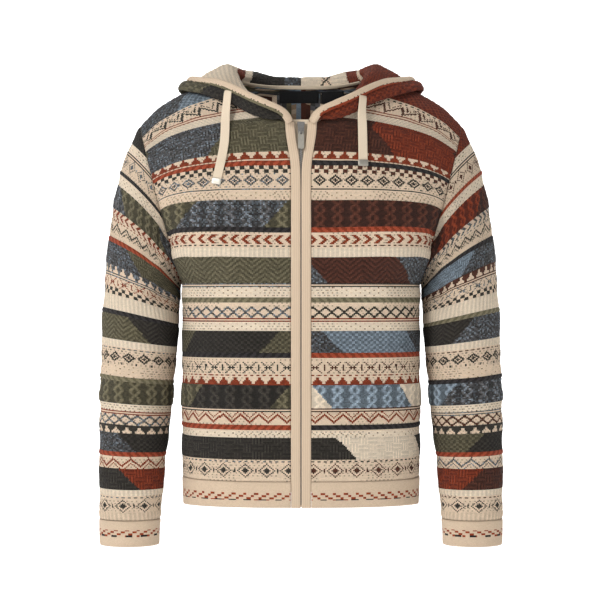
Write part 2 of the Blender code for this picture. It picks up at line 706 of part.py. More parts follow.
def tree_of(grid, closed=False, reverse=False):
    """A search tree of a grid's faces, with normals pointing out of the garment."""
    rows, columns = grid.shape[:2]
    spans = columns if closed else columns - 1
    faces = []
    for r in range(rows - 1):
        for c in range(spans):
            d = (c + 1) % columns
            quad = (r * columns + c, r * columns + d,
                    (r + 1) * columns + d, (r + 1) * columns + c)
            faces.append(quad[::-1] if reverse else quad)
    return BVHTree.FromPolygons([tuple(p) for p in grid.reshape(-1, 3)], faces)


def make_hood(finish, trees):
    grid, outs = hood_grid(np.linspace(0, 1, HOOD_ROWS), trees)
    whole = np.concatenate([grid, mirrored(grid)[:, -2::-1]], axis=1)
    out = normals(whole)[:, :grid.shape[1]]
    out[0] = outs
    out[:, 0, 0] = 0.0
    out[:, 0] /= np.linalg.norm(out[:, 0], axis=1, keepdims=True)
    grid[:, -1, 0] += GAP / 2
    outer, inner = grid + out * WALL / 2, grid - out * WALL / 2
    wall("hood_left", outer, inner, finish)
    wall("hood_right", mirrored(outer), mirrored(inner), finish)
    return grid, out


def make_band(finish, edge, before, outs):
    """The casing: a soft roll along the hood's edge, from one front to the other."""
    ahead = edge - before
    ahead /= np.linalg.norm(ahead, axis=1, keepdims=True)
    centres = edge + ahead * (BAND_WIDTH / 2 + GAP)
    centres[0] = BAND_START[1]
    centres[1] += outs[1] * 0.0035
    centres = np.vstack([[BAND_START[0]], centres])
    ups = np.vstack([outs[:1], outs])
    ups[:2] = (0.0, -1.0, 0.25)
    centres = np.concatenate([centres, mirrored(centres)[-2::-1]])
    ups = np.concatenate([ups, mirrored(ups)[-2::-1]])
    ups[len(ups) // 2, 0] = centres[len(ups) // 2, 0] = 0.0
    return tube("hood_band", centres, ups, BAND_WIDTH / 2, BAND_THICK / 2, 8, finish, 2.3)


# ---- the zip -----------------------------------------------------------------------

def zip_line(z, behind):
    """Points down the middle of the zip, some way behind the surface of the plackets."""
    z = np.asarray(z, float)
    depth = table_at(CENTRE, z)[:, 1]
    return np.stack([np.zeros_like(z), behind - depth, z], axis=1)


def zip_frame(z):
    """On the zip's surface at a height: the point, up along it, and proud of it."""
    low, high = zip_line([z - 0.008, z + 0.008], 0.0)
    up = (high - low) / np.linalg.norm(high - low)
    return (low + high) / 2, up, np.cross([1.0, 0.0, 0.0], up)


def prism(name, outline, origin, along, proud, near, far, finish):
    """A solid between two levels of an (x, along) outline."""
    outline = np.asarray(outline, float)
    rings = [origin + outline[:, :1] * [1.0, 0.0, 0.0] + outline[:, 1:] * along + level * proud
             for level in (near, far)]
    count = len(outline)
    faces = [tuple(range(count))[::-1], tuple(range(count, 2 * count))]
    faces += [(i, (i + 1) % count, (i + 1) % count + count, i + count) for i in range(count)]
    return solid(name, np.vstack(rings), faces, finish)


def join(body, extra):
    """Add another solid to a body."""
    modifier = body.modifiers.new("join", "BOOLEAN")
    modifier.operation, modifier.solver, modifier.object = "UNION", "EXACT", extra
    done = body.evaluated_get(bpy.context.evaluated_depsgraph_get())
    mesh = bpy.data.meshes.new_from_object(done)
    body.modifiers.clear()
    body.data = mesh
    bpy.data.objects.remove(extra)
    return body


def make_zip(tape_finish, metal):
    z = np.concatenate([np.linspace(HEM_BOTTOM + 0.001, -0.14, 9),
                        [row[0] for row in CENTRE[5:]]])
    z[-1] = ZIP_TOP
    ups = np.tile([0.0, -1.0, 0.0], (len(z), 1))
    tube("zip_tape", zip_line(z, TAPE_BEHIND), ups, TAPE_WIDTH / 2, TAPE_THICK / 2, 4,
         tape_finish, 40)
    z[0], z[-1] = HEM_BOTTOM + 0.004, SLIDER_Z
    tube("zip_teeth", zip_line(z, TEETH_BEHIND), ups, TEETH_WIDTH / 2, TEETH_THICK / 2, 4,
         metal, 40)
    origin, up, proud = zip_frame(SLIDER_Z)
    sides = [(half, along) for along, half in SLIDER]
    outline = sides + [(-half, along) for half, along in sides[::-1]]
    body = prism("zip_slider", outline, origin, up, proud, -SLIDER_BACK, SLIDER_PROUD, metal)
    pivot = origin + up * (CROWN_Z - SLIDER_Z) / up[2] + proud * SLIDER_PROUD
    rings = [[pivot + up * along + proud * level + [side * CROWN_HALF, 0.0, 0.0]
              for along, level in CROWN] for side in (-1, 1)]
    count = len(CROWN)
    faces = [tuple(range(count)), tuple(range(count, 2 * count))[::-1]]
    faces += [(i, i + count, (i + 1) % count + count, (i + 1) % count) for i in range(count)]
    join(body, solid("crown", np.concatenate(rings), faces, metal))
    make_pull(pivot + proud * PIVOT_PROUD, up, proud, metal)


def make_pull(pivot, up, proud, metal):
    """The pull tab: a plate hanging from a bar under the slider's crown, its origin."""
    rows = []
    for along, half in PULL:
        inner = min(PULL_WINDOW, half - 0.0008)
        rows.append([[x, along] for x in (-half, -inner, inner, half)])
    grid = np.array(rows)
    count = grid.shape[0] * 4
    layers = [pivot + grid[..., :1] * [1.0, 0.0, 0.0] + grid[..., 1:] * up + level * proud
              for level in (PULL_HALF_THICK, -PULL_HALF_THICK)]
    faces, edges = [], set()
    for row in range(len(PULL) - 1):
        for column in range(3):
            if (row, column) == (1, 1):
                continue
            quad = [row * 4 + column, row * 4 + column + 1,
                    row * 4 + column + 5, row * 4 + column + 4]
            faces += [tuple(quad), tuple(i + count for i in quad[::-1])]
            for a, b in zip(quad, quad[1:] + quad[:1]):
                edges ^= {(a, b)} if (b, a) not in edges else {(b, a)}
    faces += [(b, a, a + count, b + count) for a, b in sorted(edges)]
    points = np.concatenate([layer.reshape(-1, 3) for layer in layers])
    solid("zip_pull", points - pivot, faces, metal).location = pivot


# ---- drawstrings and labels --------------------------------------------------------

def ahead_hit(x, z, trees, start=-0.4, step=1.0):
    """Depth of the first surface met from the front at (x, z), on the wearer's left."""
    hits = [tree.ray_cast(Vector((abs(x), start, z)), Vector((0.0, step, 0.0)), 0.6)[0]
            for tree in trees]
    return min((hit[1] for hit in hits if hit is not None), default=None)


def hang(points, trees, clear):
    """A drawstring's middle line and thin directions, hanging over what is behind it."""
    points = np.asarray(points, float)
    flat = along(np.insert(points, 1, 0.0, axis=1), np.linspace(0, 1, 13))
    half = CORD_WIDTH / 2
    depth, ups = [], []
    for x, _, z in flat:
        row = [ahead_hit(x + side * half, z, trees) for side in (-1, 0, 1)]
        slope = (row[2] - row[0]) / CORD_WIDTH
        ups.append(np.array([slope, -1.0, 0.0]) / math.hypot(slope, 1.0))
        bulge = min(0.0, row[1] - (row[0] + row[2]) / 2)
        depth.append((row[0] + row[2]) / 2 + bulge - CORD_THICK / 2 - clear)
    depth = np.array(depth)
    depth[-1] = min(depth[-1], depth[-2])
    for _ in range(30):
        depth[1:-1] = np.minimum(depth[1:-1], (depth[:-2] + depth[2:]) / 2)
    flat[:, 1] = depth
    return flat, np.array(ups)


def make_drawstring(side, points, trees, cloth, metal):
    line, ups = hang(points, trees, CORD_CLEAR[side])
    end = line[-1] - line[-2]
    end /= np.linalg.norm(end)
    tube("drawstring_" + side, line, ups, CORD_WIDTH / 2, CORD_THICK / 2, 6, cloth, 4)
    tip = line[-1] + end * (GAP + np.array([[0.0], [TIP_LENGTH]]))
    tip += ups[-1] * (TIP_THICK - CORD_THICK) / 2
    tube("tip_" + side, tip, ups[-2:], TIP_WIDTH / 2, TIP_THICK / 2, 8, metal, 4)


def make_label(name, edges, tree, finish):
    left, right, bottom, top = edges
    columns, rows = max(3, round((right - left) / 0.012) + 1), 3
    grid = np.empty((rows, columns, 3))
    for r, z in enumerate(np.linspace(bottom, top, rows)):
        for c, x in enumerate(np.linspace(left, right, columns)):
            grid[r, c] = (x, ahead_hit(x, z, [tree], start=0.0) - 2 * GAP, z)
    front = grid - [0.0, LABEL_THICK, 0.0]
    wall(name, front, grid, finish)


def make_neck_tape(finish):
    points, outs, away = neck_edges()
    first = NECK_CELLS + 1
    line = points - outs * (WALL + 3 * GAP + NECK_TAPE_THICK / 2)
    line, ups = line[first:], outs[first:]
    line = np.concatenate([line, mirrored(line)[-2::-1]])
    ups = np.concatenate([ups, mirrored(ups)[-2::-1]])
    tube("neck_tape", line, ups, NECK_TAPE_WIDTH / 2, NECK_TAPE_THICK / 2, 6, finish, 4)


def clear_scene():
    for thing in list(bpy.data.objects):
        bpy.data.objects.remove(thing)


def main():
    clear_scene()
    ecru = material("ecru_knit", (0.66, 0.56, 0.44))
    patterned = material("patterned_knit", (0.33, 0.31, 0.26))
    cloth = material("dark_cloth", (0.012, 0.012, 0.013), 0.8)
    metal = material("nickel", (0.60, 0.59, 0.57), 0.35, 1.0)
    front = make_fronts(patterned)
    back, back_inside = make_back(patterned)
    sleeve = make_sleeves(patterned, ecru)
    make_hem(ecru)
    make_plackets(ecru)
    trees = [tree_of(front), tree_of(back, reverse=True),
             tree_of(sleeve, closed=True, reverse=True)]
    hood, outs = make_hood(patterned, trees)
    make_band(ecru, hood[-1], hood[-2], outs[-1])
    make_zip(ecru, metal)
    ahead = [trees[0], tree_of(hood + outs * WALL / 2)]
    make_drawstring("left", CORD_LEFT, ahead, ecru, metal)
    make_drawstring("right", CORD_RIGHT, ahead, ecru, metal)
    inside = tree_of(back_inside)
    make_label("neck_label", NECK_LABEL, inside, cloth)
    make_label("care_label", CARE_LABEL, inside, cloth)
    make_neck_tape(ecru)


main()
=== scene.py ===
"""Knit zip-up hoodie in its worn shape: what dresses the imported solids.

Each cloth piece is drawn again on a fine grid, a stitch to a face, from the same sizes
and curves that its solid was made from. A chart works out the yarn and the relief of
each stitch. Metres, +Z up, the front looks along -Y, and left is the wearer's left.
"""

import math

import bpy
import numpy as np
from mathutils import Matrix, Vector
from mathutils.bvhtree import BVHTree


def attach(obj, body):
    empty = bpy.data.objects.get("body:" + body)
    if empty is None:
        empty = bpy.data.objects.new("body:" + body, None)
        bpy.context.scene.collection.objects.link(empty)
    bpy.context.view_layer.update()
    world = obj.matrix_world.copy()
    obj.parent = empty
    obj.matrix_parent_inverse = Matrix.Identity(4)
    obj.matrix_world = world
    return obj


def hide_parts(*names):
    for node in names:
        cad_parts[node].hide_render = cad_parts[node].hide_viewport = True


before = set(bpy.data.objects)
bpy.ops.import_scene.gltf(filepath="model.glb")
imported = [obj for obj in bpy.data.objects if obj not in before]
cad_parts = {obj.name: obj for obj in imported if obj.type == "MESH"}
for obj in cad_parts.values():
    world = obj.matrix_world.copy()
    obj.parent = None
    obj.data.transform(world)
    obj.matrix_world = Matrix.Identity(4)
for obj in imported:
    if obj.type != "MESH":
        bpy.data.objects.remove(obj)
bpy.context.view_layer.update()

# ---- sizes -------------------------------------------------------------------------

WALL = 0.003            # one layer of the thick knit
BAND_WALL = 0.0042      # doubled knit of the hem and the cuffs
GAP = 0.0003            # between neighbouring pieces
HEM_BOTTOM = -0.6705
HEM_TOP = -0.628
HEM_DIP = 0.006         # how much lower the hem hangs at the sides than in the middle
ARMPIT = -0.300
UPPER_COURSES = 0.360   # height of knit between the armpit and the shoulder seam
V_ROW = 0.72            # share of those courses below the point of the neck
SECTION_POWER = 2.6     # roundness of a body section, where 2 is an ellipse
PLACKET_WIDTH = 0.0155
PLACKET_PROUD = 0.0012
PLACKET_DEEP = 0.0036
CORD_HEIGHT = 0.0024    # relief of a raised cord knitted across a panel
CORD_HALF = 0.0038      # half its width
NECK_POINT = (0.112, 0.0, 0.046)
SHOULDER_POINT = (0.272, 0.0, -0.036)

# Half sizes of the body, from the hem up to the armpits: z, half width, front, back.
BODY = (
    (-0.668, 0.1985, 0.1290, 0.1230),
    (-0.628, 0.2000, 0.1300, 0.1240),
    (-0.500, 0.2010, 0.1320, 0.1230),
    (-0.400, 0.2015, 0.1330, 0.1240),
    (-0.300, 0.2015, 0.1340, 0.1270),
)

# The front edge beside the zip: z, how far the placket is from the middle, its depth.
CENTRE = (
    (-0.668, 0.0008, 0.1290),
    (-0.500, 0.0008, 0.1320),
    (-0.300, 0.0008, 0.1340),
    (-0.200, 0.0008, 0.1358),
    (-0.140, 0.0008, 0.1355),
    (-0.112, 0.0016, 0.1332),
    (-0.085, 0.0052, 0.1298),
    (-0.062, 0.0090, 0.1256),
    (-0.040, 0.0106, 0.1205),
)

# The middle of the back, up to the neck seam: z, back.
SPINE = (
    (-0.300, 0.1270),
    (-0.200, 0.1310),
    (-0.120, 0.1280),
    (-0.050, 0.1140),
    (0.000, 0.0950),
    (0.040, 0.0780),
)

# Left half of the neck seam from the placket, and from the middle of the back.
FRONT_NECK = (
    (0.0264, -0.1187, -0.0395),
    (0.0500, -0.1110, -0.0270),
    (0.0850, -0.0880, 0.0000),
    (0.1060, -0.0480, 0.0290),
    NECK_POINT,
)
BACK_NECK = (
    (0.0, 0.0780, 0.0400),
    (0.0450, 0.0700, 0.0410),
    (0.0860, 0.0440, 0.0440),
    NECK_POINT,
)
SHOULDER_SEAM = (
    NECK_POINT,
    (0.160, 0.0, 0.0350),
    (0.205, 0.0, 0.0175),
    (0.243, 0.0, -0.0070),
    SHOULDER_POINT,
)

# Rings round the left sleeve: x and z of the point nearest the body, x and z of the
# outermost point, and how far the cloth stands in front of and behind their line.
SLEEVE = (
    (0.2020, -0.300, 0.2720, -0.036, 0.084, 0.080),
    (0.2032, -0.306, 0.2935, -0.078, 0.088, 0.083),
    (0.2042, -0.314, 0.3090, -0.130, 0.086, 0.082),
    (0.2050, -0.324, 0.3185, -0.180, 0.083, 0.080),
    (0.2056, -0.338, 0.3258, -0.232, 0.080, 0.077),
    (0.2062, -0.358, 0.3312, -0.292, 0.077, 0.074),
    (0.2078, -0.386, 0.3347, -0.348, 0.073, 0.070),
    (0.2110, -0.422, 0.3372, -0.404, 0.069, 0.066),
    (0.2160, -0.478, 0.3390, -0.468, 0.064, 0.061),
    (0.2235, -0.548, 0.3400, -0.543, 0.059, 0.056),
    (0.2315, -0.622, 0.3403, -0.620, 0.053, 0.050),
    (0.2385, -0.700, 0.3395, -0.700, 0.046, 0.044),
)
CUFF = (
    (0.2383, -0.700, 0.3397, -0.700, 0.0465, 0.0445),
    (0.2398, -0.722, 0.3392, -0.722, 0.0455, 0.0435),
    (0.2402, -0.743, 0.3385, -0.743, 0.0450, 0.0430),
)
ARM_LEAN = 0.020        # how far forward of the shoulder the cuff hangs

# Soft troughs and ridges of the worn cloth: two ends, height (minus is a trough), width.
FOLDS = (
    (0.205, -0.080, -0.235, 0.150, -0.130, -0.150, -0.0050, 0.016),
    (0.202, -0.070, -0.262, 0.165, -0.128, -0.215, 0.0035, 0.014),
    (0.215, -0.078, -0.215, 0.262, -0.085, -0.268, -0.0060, 0.013),
    (0.215, -0.070, -0.262, 0.285, -0.078, -0.300, 0.0050, 0.015),
    (0.212, -0.062, -0.305, 0.262, -0.074, -0.335, -0.0050, 0.013),
    (0.222, 0.076, -0.225, 0.275, 0.078, -0.285, -0.0060, 0.014),
    (0.212, 0.066, -0.300, 0.290, 0.062, -0.340, 0.0050, 0.015),
    (0.335, -0.020, -0.395, 0.262, -0.066, -0.432, -0.0045, 0.014),
    (0.336, 0.020, -0.430, 0.262, 0.064, -0.455, -0.0040, 0.014),
    (0.238, -0.045, -0.600, 0.310, -0.052, -0.625, -0.0035, 0.012),
    (0.205, 0.078, -0.235, 0.150, 0.128, -0.160, -0.0050, 0.017),
    (0.150, -0.126, -0.600, 0.165, -0.122, -0.430, -0.0035, 0.022),
    (0.155, 0.112, -0.600, 0.150, 0.114, -0.430, -0.0050, 0.024),
    (0.060, 0.122, -0.610, 0.070, 0.122, -0.440, -0.0040, 0.026),
)

# Raised cords knitted across: height above the hem seam, or below the shoulder seam.
BODY_CORDS = (0.088, 0.206, 0.296, 0.410, 0.520)
SLEEVE_CORDS = (0.084, 0.196, 0.318, 0.430, 0.560)

FRONT_CELLS, SLEEVE_CELLS, NECK_CELLS = 9, 16, 7
ROW_STEP = 0.042        # furthest apart that rows of a panel lie
UNDERARM_ROWS = (0.02, 0.06, 0.12)      # shares of the upper courses at the armhole's turn

# Where the body's side and a sleeve hang together: its distance from the middle, half its
# width, its lowest height, and how far above that it comes in.
SIDE_X, SIDE_HALF, SIDE_LOW, SIDE_FADE = 0.2025, 0.012, -0.46, 0.05

# The hood, lying back. Each station starts on the neck seam and is drawn in its own
# upright plane, whose heading from the front comes first, in degrees. The knit rises to a
# crest, falls to a turn, and comes back up to the edge. Each pair after the heading is a
# point's way out and up from the seam: the crest, the fall, the turn, the back, the edge.
HOOD = (
    (20, -0.0006, 0.0034, 0.0021, 0.0050, 0.0042, 0.0053, 0.0056, 0.0067, 0.0062, 0.0090),
    (29, 0.0015, 0.0064, 0.0090, -0.0020, 0.0140, -0.0080, 0.0195, -0.0020, 0.0200, 0.0085),
    (36, 0.0010, 0.0065, 0.0120, -0.0070, 0.0215, -0.0180, 0.0285, -0.0130, 0.0300, 0.0020),
    (55, 0.0040, 0.0130, 0.0280, 0.0020, 0.0500, -0.0245, 0.0575, -0.0185, 0.0530, -0.0065),
    (88, 0.0120, 0.0205, 0.0460, 0.0070, 0.0930, -0.0235, 0.0965, -0.0165, 0.0810, -0.0060),
    (112, 0.0220, 0.0235, 0.0520, 0.0080, 0.0900, -0.0380, 0.1030, -0.0290, 0.0960, -0.0060),
    (133, 0.0250, 0.0215, 0.0520, -0.0020, 0.0780, -0.0820, 0.0990, -0.0660, 0.0980, -0.0100),
    (160, 0.0240, 0.0185, 0.0470, -0.0140, 0.0680, -0.1380, 0.0940, -0.1120, 0.0980, -0.0200),
    (180, 0.0220, 0.0165, 0.0450, -0.0180, 0.0640, -0.1660, 0.0900, -0.1380, 0.0980, -0.0260),
)
HOOD_STATIONS = (0.0, 0.10, 0.26, 0.42, 0.56, 0.66, 0.76, 0.88, 1.0)
HOOD_ROWS = 15
HOOD_CLEAR = 0.0060     # least height of the middle of the hood's knit over the body

# The casing: a soft roll along the hood's edge, ending in front of the placket tops.
BAND_WIDTH, BAND_THICK = 0.0135, 0.0095
BAND_START = ((0.0190, -0.1304, -0.0385), (0.0305, -0.1332, -0.0250))

# The zip's teeth, behind the front edge, and the height of its slider.
TEETH_BEHIND, TEETH_WIDTH, TEETH_THICK = 0.0053, 0.0052, 0.0026
SLIDER_Z = -0.0520

# Flat drawstrings: where each leaves the casing, and where it hangs to, as (x, z).
CORD_WIDTH, CORD_THICK = 0.0150, 0.0020
CORD_LEFT = ((0.1015, -0.0015), (0.1000, -0.0180), (0.1005, -0.0550), (0.1010, -0.1030))
CORD_RIGHT = ((-0.1205, 0.0088), (-0.1235, -0.0250), (-0.1255, -0.0750), (-0.1365, -0.1330))
CORD_CLEAR = {"left": 0.0026, "right": 0.0018}      # over what is behind them
TIP_LENGTH, TIP_WIDTH, TIP_THICK = 0.0100, 0.0164, 0.0036

# Labels inside the back of the neck: left, right, bottom and top edges.
NECK_LABEL = (-0.0375, 0.0305, 0.0120, 0.0325)
CARE_LABEL = (0.0360, 0.0740, 0.0120, 0.0310)
LABEL_THICK = 0.0008


# ---- curves ------------------------------------------------------------------------

def spline(keys, rows, at):
    """Values at the places `at` on the smooth curves through rows given at rising keys."""
    keys, rows, at = np.asarray(keys, float), np.asarray(rows, float), np.asarray(at, float)
    slopes = np.gradient(rows, keys, axis=0)
    i = np.clip(np.searchsorted(keys, at, side="right") - 1, 0, len(keys) - 2)
    step = keys[i + 1] - keys[i]
    t = np.clip((at - keys[i]) / step, 0.0, 1.0)
    if rows.ndim > 1:
        shape = t.shape + (1,) * (rows.ndim - 1)
        t, step = t.reshape(shape), step.reshape(shape)
    rise = rows[i] * (1 + 2 * t) * (1 - t) ** 2 + rows[i + 1] * t * t * (3 - 2 * t)
    return rise + step * t * (1 - t) * (slopes[i] * (1 - t) - slopes[i + 1] * t)


def unit(rows):
    """Directions of length 1, one to a row."""
    return rows / np.linalg.norm(rows, axis=-1, keepdims=True)


def lengths(points):
    """Distance along a line of points, from its start."""
    steps = np.linalg.norm(np.diff(points, axis=0), axis=1)
    return np.concatenate([[0.0], np.cumsum(steps)])


def along(points, shares, samples=400):
    """Points at shares of the length of the smooth curve through some points."""
    points = np.asarray(points, float)
    keys = lengths(points)
    line = spline(keys, points, np.linspace(0, keys[-1], samples))
    return at_shares(line, shares)


def at_shares(line, shares):
    """Points at shares of the length of a finely drawn line."""
    run = lengths(line)
    wanted = np.asarray(shares, float) * run[-1]
    return np.stack([np.interp(wanted, run, line[:, k]) for k in range(3)], axis=-1)


def table_at(table, z):
    """The other columns of a table at some heights, which are its first column."""
    table = np.asarray(table, float)
    return spline(table[:, 0], table[:, 1:], z)


# ---- the body ----------------------------------------------------------------------

def body_section(z, front, shares, samples=240):
    """Half of a level section, from the placket or the spine round to the side seam."""
    half_width, front_depth, back_depth = table_at(BODY, np.array([z]))[0]
    depth = -front_depth if front else back_depth
    turn = np.linspace(0, math.pi / 2, samples)
    x = half_width * np.sin(turn) ** (2 / SECTION_POWER)
    y = depth * np.cos(turn) ** (2 / SECTION_POWER)
    line = np.stack([x, y, np.full(samples, z)], axis=1)
    start = panel_edge(z) if front else 0.0
    first = int(np.searchsorted(x, start))
    depth_there = np.interp(start, x, y)
    line = np.vstack([[start, depth_there, z], line[max(first, 1):]])
    return at_shares(line, shares)


def panel_edge(z):
    """Where the front panel starts, beside the placket."""
    return float(table_at(CENTRE, np.array([z]))[0, 0]) + PLACKET_WIDTH + GAP


def centre_line(w, front):
    """The inner edge of an upper half panel: up the middle, then round the neck."""
    w = np.asarray(w, float)
    rise = np.clip(w / V_ROW, 0, 1)
    neck = np.clip((w - V_ROW) / (1 - V_ROW), 0, 1)
    if front:
        top = CENTRE[-1][0]
        z = ARMPIT + (top - ARMPIT) * rise
        edge, depth = table_at(CENTRE, z).T
        straight = np.stack([edge + PLACKET_WIDTH + GAP, -depth, z], axis=1)
        curve = along(FRONT_NECK, neck)
    else:
        z = ARMPIT + (SPINE[-1][0] - ARMPIT) * rise
        straight = np.stack([np.zeros_like(z), table_at(SPINE, z)[:, 0], z], axis=1)
        curve = along(BACK_NECK, neck)
    return np.where((w <= V_ROW)[:, None], straight, curve)


def sleeve_ring(row, turn, lean=0.0):
    """Points round one ring of the left sleeve. A turn goes from the armpit by the front."""
    in_x, in_z, out_x, out_z, front, back = row
    inner, outer = np.array([in_x, 0.0, in_z]), np.array([out_x, 0.0, out_z])
    tall = max(0.0, (out_z - in_z) / np.linalg.norm(outer - inner))
    power = 1 + 0.5 * tall * np.cos(turn / 2) ** 2
    side = np.sign(np.sin(turn)) * np.abs(np.sin(turn)) ** power
    share = (1 - np.cos(turn)) / 2
    points = inner + (outer - inner) * share[:, None]
    points[:, 1] = -side * np.where(side > 0, front, back) - lean
    return points


def ring_frame(turn):
    """For the sleeve's first ring: outwards in its plane, and across it to the sleeve."""
    in_x, in_z, out_x, out_z = SLEEVE[0][:4]
    up = np.array([out_x - in_x, 0.0, out_z - in_z])
    up /= np.linalg.norm(up)
    across = np.array([up[2], 0.0, -up[0]])
    step = 1e-3
    ahead = sleeve_ring(SLEEVE[0], turn + step) - sleeve_ring(SLEEVE[0], turn - step)
    out = unit(np.cross(across, ahead))
    out[np.cos(turn) > 0.9999] = (0.0, 0.0, -1.0)
    return out, across


def climb(w):
    """How far up from the armpit to the shoulder seam a share w of the courses comes."""
    w = np.asarray(w, float)
    return w * (1.35 - 0.35 * w)


def armhole(w, front):
    """The outer edge of an upper half panel, and the way out of the armhole there."""
    turn = np.arccos(1 - 2 * np.clip(climb(w), 0, 1))
    turn = turn if front else 2 * math.pi - turn
    out, across = ring_frame(turn)
    return sleeve_ring(SLEEVE[0], turn) - across * GAP / 2, out


def upper_rows(w, front, shares):
    """Rows of an upper half panel at shares w of the way up to the shoulder seam."""
    w = np.asarray(w, float)
    blend = climb(w)[:, None, None]
    below = body_section(ARMPIT, front, shares)[None]
    seam = along(SHOULDER_SEAM, shares)[None]
    rows = below * (1 - blend) + seam * blend
    across = np.asarray(shares, float)[None]
    level = np.clip(1 - w / V_ROW, 0, 1)[:, None] if front else np.zeros((len(w), 1))
    reach = (across + (across * across * (3 - 2 * across) - across) * level)[..., None]
    inner = centre_line(w, front)[:, None] - rows[:, :1]
    outer = armhole(w, front)[0][:, None] - rows[:, -1:]
    return rows + inner * (1 - reach) + outer * reach


def half_panel(front, heights, shares):
    """Outer points of the left front or of the left half of the back."""
    armpit_height = ARMPIT - HEM_TOP
    rows = []
    for height in heights:
        if height <= armpit_height:
            rows.append(body_section(HEM_TOP + height, front, shares))
        else:
            w = min(1.0, (height - armpit_height) / UPPER_COURSES)
            rows.append(upper_rows([w], front, shares)[0])
    grid = np.array(rows)
    grid[:, :, 1] += -GAP / 2 if front else GAP / 2
    return grid


def panel_out(grid, heights, front):
    """Which way is out at each point of a half panel, as at its neighbours' seams."""
    out = normals(grid, reverse=not front)
    w = (np.asarray(heights) - (ARMPIT - HEM_TOP)) / UPPER_COURSES
    out[w < V_ROW + 1e-6, 0, 0] = 0.0
    upper = w > -1e-6
    out[~upper, -1, 1] = 0.0
    if upper.any():
        out[upper, -1] = armhole(np.clip(w[upper], 0, 1), front)[1]
    if w[-1] > 1 - 1e-6:
        out[-1, :, 1] = 0.0
    return unit(out)


def panel_surface(front, heights, shares):
    """A half panel with its worn folds, and which way is out at each point."""
    grid = half_panel(front, heights, shares)
    out = panel_out(grid, heights, front)
    grid = grid + out * fold_heights(grid)[..., None]
    return grid, panel_out(grid, heights, front)


# ---- sleeves -----------------------------------------------------------------------

def sleeve_grid(table, heights, turns):
    """Rings of a sleeve or cuff at distances down its outer side."""
    table = np.asarray(table, float)
    down = lengths(table[:, 2:4])
    rows = spline(down, table, np.asarray(heights, float))
    top, bottom = SHOULDER_POINT[2], CUFF[-1][1]
    rings = []
    for row in rows:
        lean = ARM_LEAN * max(0.0, (top - row[3]) / (top - bottom)) ** 1.5
        lean *= min(1.0, max(0.0, (top - row[1] - 0.26) / 0.05))
        rings.append(sleeve_ring(row, turns, lean))
    return np.array(rings)


def sleeve_surface(heights, turns):
    """The left sleeve with its worn folds, and which way is out at each point."""
    grid = sleeve_grid(SLEEVE, heights, turns)
    rim, across = ring_frame(turns)
    out = normals(grid, closed=True, reverse=True)
    out[0] = rim
    grid = grid + out * fold_heights(grid)[..., None]
    out = normals(grid, closed=True, reverse=True)
    out[0] = rim
    grid[0] += across * GAP / 2
    return grid, out


# ---- surfaces ----------------------------------------------------------------------

def normals(grid, closed=False, reverse=False):
    """Unit normals of a grid: across the columns, turned to up the rows."""
    if closed:
        across = np.roll(grid, -1, axis=1) - np.roll(grid, 1, axis=1)
    else:
        across = np.gradient(grid, axis=1)
    up = np.gradient(grid, axis=0)
    found = np.cross(across, up)
    found /= np.maximum(np.linalg.norm(found, axis=2, keepdims=True), 1e-12)
    return -found if reverse else found


def fold_heights(points):
    """How far the worn folds lift each point, for either side of the body."""
    near = np.array(points, float)
    near[..., 0] = np.abs(near[..., 0])
    lift = np.zeros(near.shape[:-1])
    for x1, y1, z1, x2, y2, z2, height, width in FOLDS:
        start, run = np.array([x1, y1, z1]), np.array([x2 - x1, y2 - y1, z2 - z1])
        t = np.clip((near - start) @ run / (run @ run), 0, 1)
        away = np.linalg.norm(near - start - t[..., None] * run, axis=-1)
        lift += height * np.exp(-(away / width) ** 2) * (0.35 + 0.65 * np.sin(math.pi * t))
    return lift


def cord_relief(points, run, cords, share):
    """Relief of the raised cords at distances `run` along a piece.

    It is left out where the body and a sleeve hang together.
    """
    away = np.abs(run[..., None] - np.asarray(cords)).min(axis=-1)
    relief = share * CORD_HEIGHT * np.clip(1 - (away / CORD_HALF) ** 2, 0, 1)
    x, z = np.abs(points[..., 0]), points[..., 2]
    beside = np.clip(1 - np.abs(x - SIDE_X) / SIDE_HALF, 0, 1)
    beside = beside * np.clip((z - SIDE_LOW) / SIDE_FADE, 0, 1)
    return relief * (1 - np.clip(3 * beside, 0, 1))


def row_heights(marks, cords):
    """Heights of rows: at some marks, three for each cord, and others evenly between."""
    marks = list(marks)
    for cord in cords:
        marks += [cord - CORD_HALF, cord, cord + CORD_HALF]
    marks = sorted(marks)
    found = [marks[0]]
    for low, high in zip(marks, marks[1:]):
        parts = max(1, math.ceil((high - low) / ROW_STEP - 0.05))
        found += [low + (high - low) * (k + 1) / parts for k in range(parts)]
    return np.array(found)


def body_rows():
    """Heights of the rows of the fronts and the back above the hem seam."""
    armpit = ARMPIT - HEM_TOP
    zip_top = [(row[0] - ARMPIT) / (CENTRE[-1][0] - ARMPIT) * V_ROW for row in CENTRE[5:-1]]
    neck = V_ROW + (1 - V_ROW) * np.linspace(0, 1, NECK_CELLS + 1)
    marks = [armpit + UPPER_COURSES * w for w in (*UNDERARM_ROWS, *zip_top, *neck)]
    return row_heights([0.0, armpit, *marks], BODY_CORDS)


def mirrored(grid):
    """The same grid on the wearer's right, with its columns in the same order."""
    return grid * np.array([-1.0, 1.0, 1.0])


def wrapped(grid):
    """A ring's grid with its first column once more at its end."""
    return np.concatenate([grid, grid[:, :1]], axis=1)


def metres(across, along_it):
    """Knit coordinates of a grid, from distances across it and one along for each row."""
    return np.stack([across, np.broadcast_to(along_it[:, None], across.shape)], axis=-1)


# ---- the hood and the zip ------------------------------------------------------------

